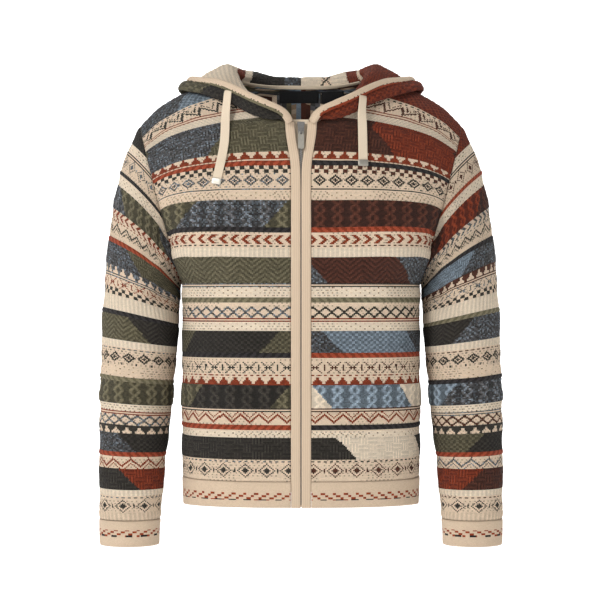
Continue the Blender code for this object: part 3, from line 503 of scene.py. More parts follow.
def neck_edges():
    """The left of the neck seam, from the placket to the back: points, out, and away."""
    heights, shares = body_rows(), np.linspace(0, 1, FRONT_CELLS + 1)
    front, front_out = panel_surface(True, heights, shares)
    back, back_out = panel_surface(False, heights, shares)
    first = len(heights) - NECK_CELLS - 1
    points = np.concatenate([front[first:, 0], back[first:-1, 0][::-1]])
    outs = np.concatenate([front_out[first:, 0], back_out[first:-1, 0][::-1]])
    points[NECK_CELLS, 1] = points[-1, 0] = 0.0
    runs = np.gradient(points, axis=0)
    runs[-1] = (1.0, 0.0, 0.0)
    away = unit(np.cross(outs, runs))
    away *= np.sign(away[:, 2])[:, None]
    away[0] = np.cross(outs[0], [1.0, 0.0, 0.0])
    away[-1, 0] = 0.0
    return points, outs, away


HOOD_STAND = 0.0022     # how far the hood's knit rises straight from its seam
HOOD_FREE = 0.15        # share of the way up it from which it is kept clear of the body


def hood_grid(rows, trees):
    """The middle of the left half of the hood: rows from the neck seam to the edge."""
    points, outs, away = neck_edges()
    seam_run = lengths(points)
    stations = spline(HOOD_STATIONS, np.array(HOOD, float), seam_run / seam_run[-1])
    grid = np.empty((len(rows), len(points), 3))
    for column, row in enumerate(stations):
        start = points[column] - outs[column] * WALL / 2 + away[column] * 1.5 * GAP
        heading = math.radians(row[0])
        ahead = np.array([math.sin(heading), -math.cos(heading), 0.0])
        path = [start, start + away[column] * HOOD_STAND]
        for out, up in row[1:].reshape(-1, 2):
            path.append(points[column] + ahead * out + [0.0, 0.0, up])
        grid[:, column] = along(path, rows)
    grid[:, -1, 0] = 0.0
    for r, share in enumerate(rows):
        for c in range(1, len(points)):
            if share > HOOD_FREE:
                least = HOOD_CLEAR * min(1.0, (share - HOOD_FREE) / 0.2)
                grid[r, c] = raised(grid[r, c], trees, least)
    return grid, outs


def raised(point, trees, least):
    """A point moved so that it stands at least so far outside the knit below it."""
    for tree in trees:
        near, out, _, _ = tree.find_nearest(Vector(point), 0.03)
        if near is None:
            continue
        height = (Vector(point) - near).dot(out)
        if height < least:
            point = np.array(Vector(point) + out * (least - height))
    return point


def tree_of(grid, closed=False, reverse=False):
    """A search tree of a grid's faces, with normals pointing out of the garment."""
    rows, columns = grid.shape[:2]
    spans = columns if closed else columns - 1
    faces = []
    for r in range(rows - 1):
        for c in range(spans):
            d = (c + 1) % columns
            quad = (r * columns + c, r * columns + d,
                    (r + 1) * columns + d, (r + 1) * columns + c)
            faces.append(quad[::-1] if reverse else quad)
    return BVHTree.FromPolygons([tuple(p) for p in grid.reshape(-1, 3)], faces)


def zip_line(z, behind):
    """Points down the middle of the zip, some way behind the surface of the plackets."""
    z = np.asarray(z, float)
    depth = table_at(CENTRE, z)[:, 1]
    return np.stack([np.zeros_like(z), behind - depth, z], axis=1)


def ahead_hit(x, z, trees, start=-0.4, step=1.0):
    """Depth of the first surface met from the front at (x, z), on the wearer's left."""
    hits = [tree.ray_cast(Vector((abs(x), start, z)), Vector((0.0, step, 0.0)), 0.6)[0]
            for tree in trees]
    return min((hit[1] for hit in hits if hit is not None), default=None)


def hang(points, trees, clear):
    """A drawstring's middle line and thin directions, hanging over what is behind it."""
    points = np.asarray(points, float)
    flat = along(np.insert(points, 1, 0.0, axis=1), np.linspace(0, 1, 13))
    half = CORD_WIDTH / 2
    depth, ups = [], []
    for x, _, z in flat:
        row = [ahead_hit(x + side * half, z, trees) for side in (-1, 0, 1)]
        slope = (row[2] - row[0]) / CORD_WIDTH
        ups.append(np.array([slope, -1.0, 0.0]) / math.hypot(slope, 1.0))
        bulge = min(0.0, row[1] - (row[0] + row[2]) / 2)
        depth.append((row[0] + row[2]) / 2 + bulge - CORD_THICK / 2 - clear)
    depth = np.array(depth)
    depth[-1] = min(depth[-1], depth[-2])
    for _ in range(30):
        depth[1:-1] = np.minimum(depth[1:-1], (depth[:-2] + depth[2:]) / 2)
    flat[:, 1] = depth
    return flat, np.array(ups)


# ---- yarns and charts --------------------------------------------------------------

STITCH, COURSE = 0.0026, 0.0021     # one stitch across, and one course up

YARN = {
    "ecru": (0.800, 0.625, 0.455), "cream": (0.860, 0.720, 0.550),
    "band": (0.560, 0.430, 0.310),
    "tan": (0.430, 0.300, 0.195), "olive": (0.140, 0.121, 0.070),
    "charcoal": (0.037, 0.031, 0.024), "chocolate": (0.082, 0.025, 0.013),
    "rust": (0.235, 0.036, 0.010), "slate": (0.110, 0.108, 0.112),
    "blue": (0.250, 0.310, 0.365), "black": (0.014, 0.011, 0.011),
}
# Yarns spun from two colours: the darker and the lighter strand.
MARL = {"slate": ("charcoal", "blue"), "tan": ("ecru", "chocolate")}
# How much stitches of a yarn differ, where they don't by USUAL_SPREAD.
SPREAD = {"ecru": 0.07, "cream": 0.07, "band": 0.05}
RELIEF = 0.0019         # height of a field's texture
LACE_DEEP = 0.0009      # depth of the small holes in plain grounds
# Yarns that run up the back's inner side, and the width of each one's stripe.
FLOATS = (
    ("chocolate", 0.013), ("tan", 0.007), ("slate", 0.016), ("ecru", 0.006),
    ("charcoal", 0.017), ("rust", 0.004), ("charcoal", 0.010), ("blue", 0.015),
    ("chocolate", 0.009), ("ecru", 0.008), ("slate", 0.012), ("olive", 0.010),
    ("tan", 0.006), ("blue", 0.012),
)


def layout(text):
    """Bands of knit, each written as its kind, its courses, its ground and its figure."""
    rows = [row.split() for row in text.split(",")]
    return [(kind, int(courses), ground, pattern) for kind, courses, ground, pattern in rows]


def palette(figures, cords, fields):
    """A piece's yarns: m1 to m3 of its figures, its raised cords, and its fields from f1.

    A field has two yarns, which take turns along it.
    """
    return figures.split(), cords.split(), [pair.split("/") for pair in fields.split()]


PATTERNS = ("diamonds", "gems", "zigzag", "crosses", "lattice", "arrows", "checks", "teeth",
            "dots", "stripe", "eyelets", "plain")
BODY_LAYOUT = layout("""
    plain 3 ecru ecru, diamonds 11 ecru m1, dots 3 ecru m2, basket 17 f1 f1,
    eyelets 5 cream tan, plain 6 ecru ecru, zigzag 9 ecru m3, stripe 3 m1 ecru, cable 18 f2 f2,
    teeth 6 ecru m3, dots 3 ecru m3, crosses 9 ecru m1, plain 7 ecru ecru, seed 17 f3 f3,
    eyelets 7 cream tan, stripe 3 m3 ecru, lattice 9 ecru m2, plain 7 ecru ecru,
    eyelets 8 cream tan, stripe 3 m2 ecru, herringbone 20 f4 f4, rib 7 cream ecru,
    dots 3 ecru m1, arrows 7 ecru m3, plain 6 ecru ecru, cable 21 f5 f5, eyelets 7 ecru tan,
    stripe 3 ecru m2, gems 11 ecru m2, checks 6 ecru m1, plain 6 ecru ecru, teeth 6 ecru m3,
    basket 28 f6 f6, rib 6 cream ecru, stripe 3 m3 ecru, zigzag 9 ecru m1, dots 3 ecru m2,
    seed 30 f7 f7""")
SLEEVE_LAYOUT = layout("""
    seed 15 f7 f7, eyelets 7 cream tan, stripe 3 m1 ecru, diamonds 11 ecru m2,
    plain 6 ecru ecru, eyelets 8 cream tan, cable 19 f6 f6, arrows 7 ecru m3, dots 3 ecru m3,
    zigzag 9 ecru m1, plain 7 ecru ecru, basket 18 f5 f5, teeth 6 ecru m2, stripe 3 m2 ecru,
    crosses 9 ecru m3, checks 6 ecru m1, rib 12 cream ecru, plain 4 ecru ecru,
    herringbone 20 f4 f4, rib 6 cream ecru, dots 3 ecru m2, gems 11 ecru m1,
    eyelets 10 ecru tan, plain 4 ecru ecru, cable 18 f3 f3, eyelets 6 cream tan,
    stripe 3 m3 ecru, lattice 9 ecru m2, teeth 6 ecru m1, seed 16 f2 f2, plain 4 ecru ecru,
    zigzag 9 ecru m3, basket 17 f1 f1, rib 5 cream ecru, dots 3 ecru m2, diamonds 11 ecru m1,
    rib 24 ecru cream""")
HOOD_OUT = layout("""
    seed 34 f1 f1, stripe 3 m2 ecru, gems 11 ecru m1, plain 4 ecru ecru, cable 30 f2 f2,
    dots 3 ecru m3, zigzag 9 ecru m2, plain 4 ecru ecru, basket 30 f3 f3, stripe 3 m1 ecru,
    diamonds 11 ecru m3, seed 60 f4 f4""")
# Inside the hood the bands run up from the neck, counted from the middle of the back.
HOOD_IN = {"left": layout("""
    rib 17 cream ecru, lattice 9 ecru m1, rib 18 cream ecru, seed 16 f1 f1, plain 6 ecru ecru,
    basket 60 f1 f1"""),
           "right": layout("""
    seed 14 f2 f2, basket 34 f3 f3, rib 12 cream ecru, seed 16 f4 f4, rib 60 cream ecru""")}
PALETTES = {
    "front_left": palette("chocolate charcoal rust", "black rust olive rust black", """
        cream/charcoal blue/cream slate/blue chocolate/slate chocolate/chocolate rust/chocolate
        rust/rust"""),
    "front_right": palette("charcoal slate rust", "rust black olive black rust", """
        charcoal/charcoal charcoal/olive olive/charcoal olive/olive olive/slate slate/olive
        slate/blue"""),
    "back": palette("charcoal chocolate slate", "black rust olive black rust", """
        charcoal/olive slate/blue rust/chocolate olive/charcoal chocolate/rust slate/charcoal
        olive/chocolate"""),
    "sleeve_right": palette("charcoal slate rust", "black rust black olive rust", """
        rust/charcoal charcoal/slate olive/olive charcoal/olive olive/slate slate/olive
        olive/charcoal"""),
    "sleeve_left": palette("charcoal chocolate slate", "rust black olive black rust", """
        rust/chocolate olive/charcoal slate/blue charcoal/slate blue/slate chocolate/rust
        rust/rust"""),
    "hood_left": palette("charcoal rust slate", "", """
        rust/rust chocolate/rust slate/blue rust/chocolate"""),
    "hood_right": palette("charcoal olive rust", "", """
        olive/charcoal slate/slate charcoal/charcoal rust/rust"""),
}
BLOCK = 0.150           # length of one yarn's turn along a field
BLOCK_SHIFT = 0.031     # how much further along the turns start for each course below
MARL_DARK, MARL_LIGHT = 0.34, 0.80      # a marl's stitches below are dark, above are light
USUAL_SPREAD = 0.30
FIGURE_PROUD = 0.0005   # how much a figure's stitches stand up
MIDDLE_HIGH, HOLE_PAINTED_SHADE = 0.54, 0.52    # the relief that is painted neither lighter nor darker, and the painted shade in a hole
TWIST = 0.0065          # length of one ply's turn on a raised cord

# Sizes of the fields' textures.
BASKET, BASKET_WALES = (0.0156, 0.0126), (0.0052, 0.0063)
CABLE_WIDTH, CABLE_LENGTH, CABLE_SWAY, CABLE_ROPE = 0.0286, 0.0300, 0.23, 0.15
HERRINGBONE, HERRINGBONE_STEP = 0.0208, 0.0084
RIB = 0.0078

# Heights of the small unevenness of hanging knit, and the waves that it is made of.
CRUMPLE, ARMPIT_CRUMPLE, ELBOW_CRUMPLE = 0.00042, 0.0016, 0.0011
WAVES = ((61, 23, 71, 0.3), (-47, 83, 39, 1.9), (97, 31, -57, 4.2), (29, -67, 103, 2.6),
         (-83, 59, 127, 5.1))
ARMPIT_POINT, ELBOW = (0.196, -0.315), -0.46


def hashed(i, j, salt=0.0):
    """A steady number from 0 to 1 for each stitch."""
    value = np.sin(i * 12.9898 + j * 78.233 + salt * 37.719) * 43758.5453
    return value - np.floor(value)


def figure(kind, i, j):
    """Whether the stitch i across and j up a pattern is worked in its figure yarn."""
    if kind == "diamonds":
        a, b = np.abs(i % 14 - 7), np.abs(j - 5)
        return (a + b == 5) | (a + b <= 2) | ((a == 7) & (b < 2))
    if kind == "gems":
        a, b = np.abs(i % 10 - 5), np.abs(j - 5)
        return ((a + b <= 4) & (a + b != 2)) | ((a == 5) & (b == 5))
    if kind == "zigzag":
        a = np.abs(i % 12 - 6)
        return (j == a) | (j == a + 1) | (j == a + 4)
    if kind == "crosses":
        a, b = np.abs(i % 12 - 6), np.abs(j - 4)
        return ((a == b) & (a < 5)) | ((a == 6) & (b < 3)) | ((b == 0) & (a < 3))
    if kind == "lattice":
        return ((i + j) % 8 < 2) | ((i - j) % 8 < 2)
    if kind == "arrows":
        return (i + np.abs(j - 3)) % 7 < 3
    if kind == "checks":
        return (i // 3 + j // 3) % 2 == 0
    if kind == "teeth":
        return np.abs(i % 8 - 3.5) * 1.5 < 6 - j
    if kind == "dots":
        return (i % 4 < 2) & (j == 1)
    if kind == "stripe":
        return j == 1
    if kind == "eyelets":
        return ((i % 6 == 2) & (j % 4 == 1)) | ((i % 6 == 5) & (j % 4 == 3))
    return np.zeros(np.shape(i), bool)


def lace(i, j, first):
    """Small holes in a plain ground: slanted rows of them, in patches that come and go."""
    lean = i + (j // 2) * (1 if first % 2 else -1)
    patch = np.sin(i * 0.11 + first) + np.sin(i * 0.053 + first * 0.7) > -0.35
    return (lean % 3 == 0) & (j % 2 == 0) & patch


def texture(kind, u, v):
    """Relief of a plain field's knit, from 0 to 1."""
    if kind == "seed":
        i, j = np.round(u / STITCH), np.round(v / COURSE)
        return 0.45 * ((i // 2 + j // 2) % 2)
    if kind == "basket":
        turn = (np.floor(u / BASKET[0]) + np.floor(v / BASKET[1])) % 2
        across, down = (0.5 + 0.5 * np.cos(2 * math.pi * x / step)
                        for x, step in zip((u, v), BASKET_WALES))
        return np.where(turn > 0, 0.75 * across, 0.55 * down)
    if kind == "cable":
        x = u % CABLE_WIDTH / CABLE_WIDTH - 0.5
        turn = 2 * math.pi * v / CABLE_LENGTH
        sway = CABLE_SWAY * np.cos(turn)
        ropes = [np.clip(1 - ((x - side * sway) / CABLE_ROPE) ** 2, 0, 1) for side in (-1, 1)]
        over = np.where(np.sin(turn) > 0, *ropes)
        return np.maximum(np.maximum(*ropes) * 0.75, over)
    if kind == "herringbone":
        side = np.where(u % (2 * HERRINGBONE) < HERRINGBONE, 1, -1)
        return 0.35 + 0.35 * np.cos(2 * math.pi * (v + side * u * 0.8) / HERRINGBONE_STEP)
    if kind == "rib":
        return 0.3 + 0.3 * np.cos(2 * math.pi * u / RIB)
    return np.zeros(np.broadcast(u, v).shape)


def yarn_colour(names, i, j):
    """Linear colours of stitches in named yarns, each a little unlike its neighbours."""
    colour = np.zeros(names.shape + (3,))
    luck, again = hashed(i, j), hashed(i, j, 3.0)
    for name, value in YARN.items():
        here = names == name
        if not here.any():
            continue
        shade = np.broadcast_to(np.array(value), (int(here.sum()), 3)).copy()
        if name in MARL:
            dark, light = (np.array(YARN[other]) for other in MARL[name])
            shade[luck[here] < MARL_DARK] = 0.35 * shade[0] + 0.65 * dark
            shade[luck[here] > MARL_LIGHT] = 0.45 * shade[0] + 0.55 * light
        spread = SPREAD.get(name, USUAL_SPREAD)
        colour[here] = shade * (1 + spread * (2 * again[here] - 1))[:, None]
    return colour


def floats(u, v):
    """Colours of the back's inner side, where the yarns run up it in uneven stripes."""
    ends = np.cumsum([width for _, width in FLOATS])
    place = (u + 0.0028 * np.sin(v * 55) + 0.0016 * np.sin(v * 141 + 2)) % ends[-1]
    names = np.array([name for name, _ in FLOATS])
    chosen = names[np.minimum(np.searchsorted(ends, place), len(ends) - 1)]
    return yarn_colour(chosen, np.floor(u / STITCH), np.floor(v / COURSE))


def chart(piece, bands, cords, u, v, plain=False):
    """Colour and relief of the stitches at u across and v along a piece. Its colour holds
    painted shade of the relief and the holes, and painted highlights on the cords' plies.

    A plain chart is the cloth's inner side, without the figures.
    """
    figures, cord_yarns, fields = PALETTES[piece]
    names = {"m%d" % (k + 1): yarn for k, yarn in enumerate(figures)}
    i = np.floor(u / STITCH + 1000.5).astype(int)
    course = np.floor(v / COURSE + 1e-6).astype(int)
    yarns = np.full(u.shape, "ecru", dtype="<U12")
    relief, field = np.zeros(u.shape), np.zeros(u.shape, bool)
    first = 0
    for kind, courses, ground, pattern in bands:
        here = (course >= first) & (course < first + courses)
        if first + courses >= sum(row[1] for row in bands):
            here |= course >= first + courses
        j = course[here] - first
        if ground[0] == "f" and ground[1:].isdigit():
            pair = np.array(fields[int(ground[1:]) - 1])
            steps = np.floor(j * 0.75) * STITCH
            place = u[here] + steps + BLOCK_SHIFT * first
            turn = np.floor(place / BLOCK).astype(int) % 2
            yarns[here] = pair[turn]
        else:
            yarns[here] = names.get(ground, ground)
        drawn = figure(kind, i[here], j)
        if pattern != ground and not plain:
            spot = yarns[here]
            spot[drawn] = names.get(pattern, pattern)
            yarns[here] = spot
        relief[here] = texture(kind, u[here], v[here] - first * COURSE) * RELIEF
        if kind in PATTERNS:
            holes = lace(i[here], course[here], first) & ~drawn
            relief[here] += FIGURE_PROUD * drawn - LACE_DEEP * holes
        field[here] = kind not in PATTERNS
        first += courses
    colour = yarn_colour(yarns, i, course)
    # Painted shade: a field is painted darker in the low parts of its relief and lighter on its
    # high parts, more so on dark yarns, and each lace hole is painted dark.
    high = np.clip(relief / RELIEF, 0, 1)
    painted_relief_shade = np.where(colour.mean(axis=-1) > 0.4, 0.35, 1.0) * field
    holes = np.where(relief < -1e-5, HOLE_PAINTED_SHADE, 1.0)
    shade = (1 + painted_relief_shade * (high - MIDDLE_HIGH)) * holes
    colour *= shade[..., None]
    for k, cord in enumerate(cords):
        here = np.abs(v - cord) < CORD_HALF
        twist = np.floor((u[here] + 0.9 * (v[here] - cord)) / TWIST).astype(int)
        base = np.array(YARN[cord_yarns[k]])
        # Painted highlight: a lighter copy of the cord's yarn on every other turn of its twist
        # stands in for light on its plies.
        lighter = base * 1.7 + 0.012
        colour[here] = np.where((twist % 2 == 0)[:, None], base, lighter)
        relief[here] = 0.0
    return colour, relief


def crumple(points):
    """Small soft unevenness of hanging knit, and folds at the armpits and elbows."""
    x, y, z = np.abs(points[..., 0]), points[..., 1], points[..., 2]
    lift = sum(np.sin(a * points[..., 0] + b * y + c * z + d) for a, b, c, d in WAVES) * CRUMPLE
    side, drop = x - ARMPIT_POINT[0], z - ARMPIT_POINT[1]
    away = np.hypot(side, drop)
    lift += ARMPIT_CRUMPLE * np.sin(6 * np.arctan2(drop, side) + 18 * away) * np.exp(
        -((away - 0.062) / 0.042) ** 2)
    bend = np.exp(-((z - ELBOW) / 0.060) ** 2) * np.clip((x - 0.20) / 0.02, 0, 1)
    return lift + ELBOW_CRUMPLE * bend * np.sin(150 * z + 60 * x + 40 * y)


# ---- meshes ------------------------------------------------------------------------

class Cloth:
    """Gathers the faces of a piece, each with its yarn's colour and knit coordinates."""

    def __init__(self):
        self.points, self.faces, self.spread, self.atlas, self.colour = [], [], [], [], []
        self.count = 0

    def place(self, points):
        """Adds a grid of points and gives their numbers."""
        index = np.arange(points[..., 0].size).reshape(points.shape[:-1]) + self.count
        self.points.append(points.reshape(-1, 3))
        self.count += index.size
        return index

    def quads(self, index, spread, rect, colour, flip=False):
        """Faces over a grid of point numbers, with metres and a place in the atlas.

        A cell with two corners on one point is a triangle, and one with more is left out.
        """
        rows, columns = index.shape
        x = np.linspace(rect[0], rect[2], columns)
        y = np.linspace(rect[1], rect[3], rows)
        atlas = np.stack(np.meshgrid(x, y), axis=-1)
        whole = []
        for grid in (index, spread, atlas):
            corners = [grid[:-1, :-1], grid[:-1, 1:], grid[1:, 1:], grid[1:, :-1]]
            if flip:
                corners = corners[::-1]
            cells = np.stack(corners, axis=2)
            whole.append(cells.reshape((-1, 4) + cells.shape[3:]))
        same = whole[0] == np.roll(whole[0], -1, axis=1)
        count, colour = same.sum(axis=1), colour.reshape(-1, 3)
        for size, chosen in ((4, count == 0), (3, count == 1)):
            if not chosen.any():
                continue
            keep = ~same[chosen]
            for found, cells in zip((self.faces, self.spread, self.atlas), whole):
                part = cells[chosen][keep]
                found.append(part.reshape((-1, size) + part.shape[1:]))
            self.colour.append(colour[chosen])

    def rim(self, outer, inner, colour, flip=False):
        """Faces between the edge of a fine grid and the edge of the coarser one inside."""
        parts = (len(outer) - 1) // (len(inner) - 1)
        for k in range(len(inner) - 1):
            edge = list(outer[k * parts:(k + 1) * parts + 1])
            face = edge[::-1] + [inner[k], inner[k + 1]]
            if flip:
                face = face[::-1]
            count = len(face)
            turn = np.arange(count)
            self.faces.append(np.array([face]))
            flat = np.stack([turn * STITCH / 2, turn % 2 * 0.003], axis=-1)[None]
            self.spread.append(flat)
            self.atlas.append(0.99 + flat * 0.1)
            self.colour.append(np.asarray(colour, float)[None])

    def rims(self, outer, inner, colour, flip, sides=True):
        """Faces that close a piece at its first and last rows, and at its sides."""
        self.rim(outer[0], inner[0], colour, flip)
        self.rim(outer[-1], inner[-1], colour, not flip)
        if sides:
            self.rim(outer[:, 0], inner[:, 0], colour, not flip)
            self.rim(outer[:, -1], inner[:, -1], colour, flip)

    def build(self, name, finish):
        """The piece as one Blender object."""
        mesh = bpy.data.meshes.new(name)
        sizes = np.concatenate([np.full(len(f), f.shape[1]) for f in self.faces])
        used, loops = np.unique(np.concatenate([f.reshape(-1) for f in self.faces]),
                                return_inverse=True)
        points = np.concatenate(self.points)[used]
        mesh.vertices.add(len(points))
        mesh.vertices.foreach_set("co", points.reshape(-1))
        mesh.loops.add(len(loops))
        mesh.loops.foreach_set("vertex_index", loops)
        mesh.polygons.add(len(sizes))
        starts = np.concatenate([[0], np.cumsum(sizes)[:-1]])
        mesh.polygons.foreach_set("loop_start", starts)
        mesh.polygons.foreach_set("loop_total", sizes)
        mesh.update(calc_edges=True)
        for map_name, gathered in (("Knit", self.spread), ("OFBake", self.atlas)):
            flat = np.concatenate([g.reshape(-1, 2) for g in gathered])
            mesh.uv_layers.new(name=map_name).data.foreach_set("uv", flat.reshape(-1))
        tint = np.repeat(np.concatenate(self.colour), sizes, axis=0)
        tint = np.concatenate([np.clip(tint, 0, 1), np.ones((len(tint), 1))], axis=1)
        layer = mesh.color_attributes.new("yarn", "BYTE_COLOR", "CORNER")
        layer.data.foreach_set("color", tint.reshape(-1))
        mesh.materials.append(finish)
        mesh.shade_smooth()
        return added(name, mesh)


def added(name, data):
    """A new object in the scene, made of some data."""
    made = bpy.data.objects.new(name, data)
    bpy.context.scene.collection.objects.link(made)
    return made


def plain_mesh(name, points, faces, material):
    """An object of a few plain faces."""
    mesh = bpy.data.meshes.new(name)
    mesh.from_pydata(points, [], faces)
    mesh.materials.append(material)
    return added(name, mesh)


def middles(grid):
    """The middle of each cell of a grid."""
    return (grid[:-1, :-1] + grid[:-1, 1:] + grid[1:, :-1] + grid[1:, 1:]) / 4


def eased(away, reach):
    """0 at an edge, rising smoothly to 1 at some reach from it."""
    t = np.clip(away / reach, 0, 1)
    return t * t * (3 - 2 * t)


def across_rows(grid):
    """Distance along each row of a grid, from its first column."""
    steps = np.linalg.norm(np.diff(grid, axis=1), axis=2)
    return np.concatenate([np.zeros((len(grid), 1)), np.cumsum(steps, axis=1)], axis=1)


CORD_SINK = 0.7         # how much of a raised cord's height stands above the worn knit
CALM, RELIEF_REACH = 0.014, 0.004   # from an edge to where crumples and relief are whole
SEAM_DIP, SEAM_HALF = 0.0010, 0.0018    # how deep and how wide the knit dips at its edges


def worn(grid, out, edges, relief, cords):
    """A surface with its knit relief, its cords and the soft unevenness of worn cloth."""
    soft = crumple(grid) * eased(edges, CALM)
    lift = soft + relief * eased(edges, RELIEF_REACH) + cords
    lift -= SEAM_DIP * np.exp(-(edges / SEAM_HALF) ** 2) * (cords < 0.0002)
    return grid + out * lift[..., None], grid + out * soft[..., None]


# ---- materials ---------------------------------------------------------------------

SHEEN_ROUGHNESS, CLOTH_SPECULAR = 0.6, 0.15
FIBRE_SCALE, CLOUD_SCALE = 1500.0, 18.0     # of the fuzz, and of slow changes in shade


class Nodes:
    """Short ways to write a material's node tree."""

    def __init__(self, name, roughness, sheen=0.0, metallic=0.0):
        self.material = bpy.data.materials.new(name)
        self.material.use_nodes = True
        self.tree = self.material.node_tree
        self.shader = self.tree.nodes["Principled BSDF"]
        self.set("Roughness", roughness)
        self.set("Metallic", metallic)
        self.set("Sheen Weight", sheen)
        self.set("Sheen Roughness", SHEEN_ROUGHNESS)
        if metallic < 0.5:
            self.set("Specular IOR Level", CLOTH_SPECULAR)

    def set(self, socket, value):
        """A constant of the material's shader."""
        self.shader.inputs[socket].default_value = value

    def node(self, kind, **settings):
        """A new node with some settings."""
        made = self.tree.nodes.new(kind)
        for key, value in settings.items():
            setattr(made, key, value)
        return made

    def feed(self, socket, value):
        """Gives a socket a number, a colour, or another node's output."""
        if isinstance(value, (int, float)):
            socket.default_value = value
        elif isinstance(value, tuple):
            whole = len(value) == len(socket.default_value)
            socket.default_value = value if whole else (*value, 1.0)
        else:
            self.tree.links.new(value, socket)

    def math(self, operation, *values):
        """The result of a sum on values or outputs."""
        made = self.node("ShaderNodeMath", operation=operation)
        for socket, value in zip(made.inputs, values):
            self.feed(socket, value)
        return made.outputs[0]

    def product(self, first, second):
        """Two values multiplied."""
        return self.math("MULTIPLY", first, second)

    def rising(self, share, low, rise):
        """A value that goes up from `low` by `rise` as a share goes from 0 to 1."""
        return self.math("ADD", low, self.product(share, rise))

    def mix(self, share, first, second, blend="MIX"):
        """Two colours mixed."""
        made = self.node("ShaderNodeMix", data_type="RGBA", blend_type=blend)
        for number, value in ((0, share), (6, first), (7, second)):
            self.feed(made.inputs[number], value)
        return made.outputs[2]

    def noise(self, scale, detail=2.0):
        """Noise in the object's own metres."""
        made = self.node("ShaderNodeTexNoise")
        made.inputs["Scale"].default_value = scale
        made.inputs["Detail"].default_value = detail
        self.feed(made.inputs["Vector"], self.node("ShaderNodeTexCoord").outputs["Object"])
        return made.outputs["Fac"]

    def knit_map(self):
        """The knit coordinates in metres: across, and along."""
        split = self.node("ShaderNodeSeparateXYZ")
        self.feed(split.inputs[0], self.node("ShaderNodeUVMap", uv_map="Knit").outputs[0])
        return split.outputs[0], split.outputs[1]

    def fraction(self, value, step):
        """How far through its step of a length a value is, from 0 to 1."""
        return self.math("FRACT", self.math("DIVIDE", value, step))

    def wave(self, value, step):
        """A rounded ridge in each step of a length: 0 at its edges and 1 in its middle."""
        side = self.math("SUBTRACT", self.product(self.fraction(value, step), 2.0), 1.0)
        return self.math("SUBTRACT", 1.0, self.product(side, side))

    def shaded(self, colour, *shades):
        """A colour, or each stitch's own yarn where it is None, made darker by shades."""
        if colour is None:
            colour = self.node("ShaderNodeVertexColor", layer_name="yarn").outputs["Color"]
        shade = shades[0]
        for other in shades[1:]:
            shade = self.product(shade, other)
        grey = self.node("ShaderNodeCombineColor")
        for socket in grey.inputs[:3]:
            self.feed(socket, shade)
        return self.mix(1.0, colour, grey.outputs[0], "MULTIPLY")

    def finish(self, colour, height, distance):
        """The material, with its colour and the bumps of its surface."""
        bump = self.node("ShaderNodeBump")
        bump.inputs["Strength"].default_value = 1.0
        bump.inputs["Distance"].default_value = distance
        self.feed(bump.inputs["Height"], height)
        self.feed(self.shader.inputs["Base Color"], colour)
        self.feed(self.shader.inputs["Normal"], bump.outputs[0])
        return self.material


def legs(nodes, across, along, stitch, course):
    """The two slanted legs of each knit stitch, as a height from 0 to 1."""
    half = nodes.math("ABSOLUTE", nodes.math("SUBTRACT", nodes.fraction(across, stitch), 0.5))
    slant = nodes.product(half, course * 1.15)
    rows = nodes.wave(nodes.math("SUBTRACT", along, slant), course)
    columns = nodes.wave(across, stitch / 2)
    return nodes.product(nodes.math("POWER", nodes.math("MAXIMUM", rows, 0.0), 0.6),
                         nodes.math("POWER", nodes.math("MAXIMUM", columns, 0.0), 0.5))


def knit_finish(name, stitch=STITCH, course=COURSE, painted_gap_shade=0.55, bump=0.0011):
    """Knitted yarn: a stitch's two legs, its fibres, and painted shade between stitches."""
    nodes = Nodes(name, 0.9, 0.04)
    height = legs(nodes, *nodes.knit_map(), stitch, course)
    fibre, cloudy = nodes.noise(FIBRE_SCALE, 3.0), nodes.noise(CLOUD_SCALE, 3.0)
    # Painted shade: the colour is made darker between the stitches' legs.
    shaded = nodes.shaded(None, nodes.rising(height, 1.0 - painted_gap_shade, painted_gap_shade * 1.25),
                          nodes.rising(fibre, 0.86, 0.28), nodes.rising(cloudy, 0.93, 0.14))
    return nodes.finish(shaded, nodes.math("ADD", height, nodes.product(fibre, 0.25)), bump)


def rib_finish(name, colour, step=0.0034, course=0.0016):
    """Fine ribbing: ridges along a band, with small stitches on them."""
    nodes = Nodes(name, 0.9, 0.04)
    across, along = nodes.knit_map()
    ridge, small = nodes.wave(across, step), legs(nodes, across, along, step / 2, course)
    height = nodes.math("ADD", nodes.product(ridge, 0.5), nodes.product(small, 0.5))
    fibre = nodes.noise(FIBRE_SCALE, 3.0)
    # Painted shade: the colour is made darker in the grooves between the ridges.
    shaded = nodes.shaded(colour, nodes.rising(height, 0.72, 0.30),
                          nodes.rising(fibre, 0.92, 0.16))
    return nodes.finish(shaded, height, 0.0005)


def tape_finish(name, colour, step=0.0016, zigzag=0.005):
    """Woven tape with a herringbone face."""
    nodes = Nodes(name, 0.85, 0.03)
    across, along = nodes.knit_map()
    place = nodes.math("ABSOLUTE", nodes.math("SUBTRACT", nodes.fraction(across, zigzag), 0.5))
    height = nodes.wave(nodes.math("ADD", along, nodes.product(place, zigzag)), step)
    # Painted shade: the colour is made darker in the grooves of the herringbone.
    shaded = nodes.shaded(colour, nodes.rising(height, 0.78, 0.22),
                          nodes.rising(nodes.noise(1800.0, 2.0), 0.92, 0.16))
    return nodes.finish(shaded, height, 0.0003)


def metal_finish(name, colour, roughness):
    """Brushed metal, darker where it is handled less."""
    nodes = Nodes(name, roughness, 0.0, 1.0)
    darker = tuple(0.72 * c for c in colour)
    lighter = tuple(min(1, 1.2 * c) for c in colour)
    shade = nodes.mix(nodes.noise(220.0, 4.0), darker, lighter)
    return nodes.finish(shade, nodes.noise(2600.0), 0.00004)


# ---- the knit pieces ---------------------------------------------------------------

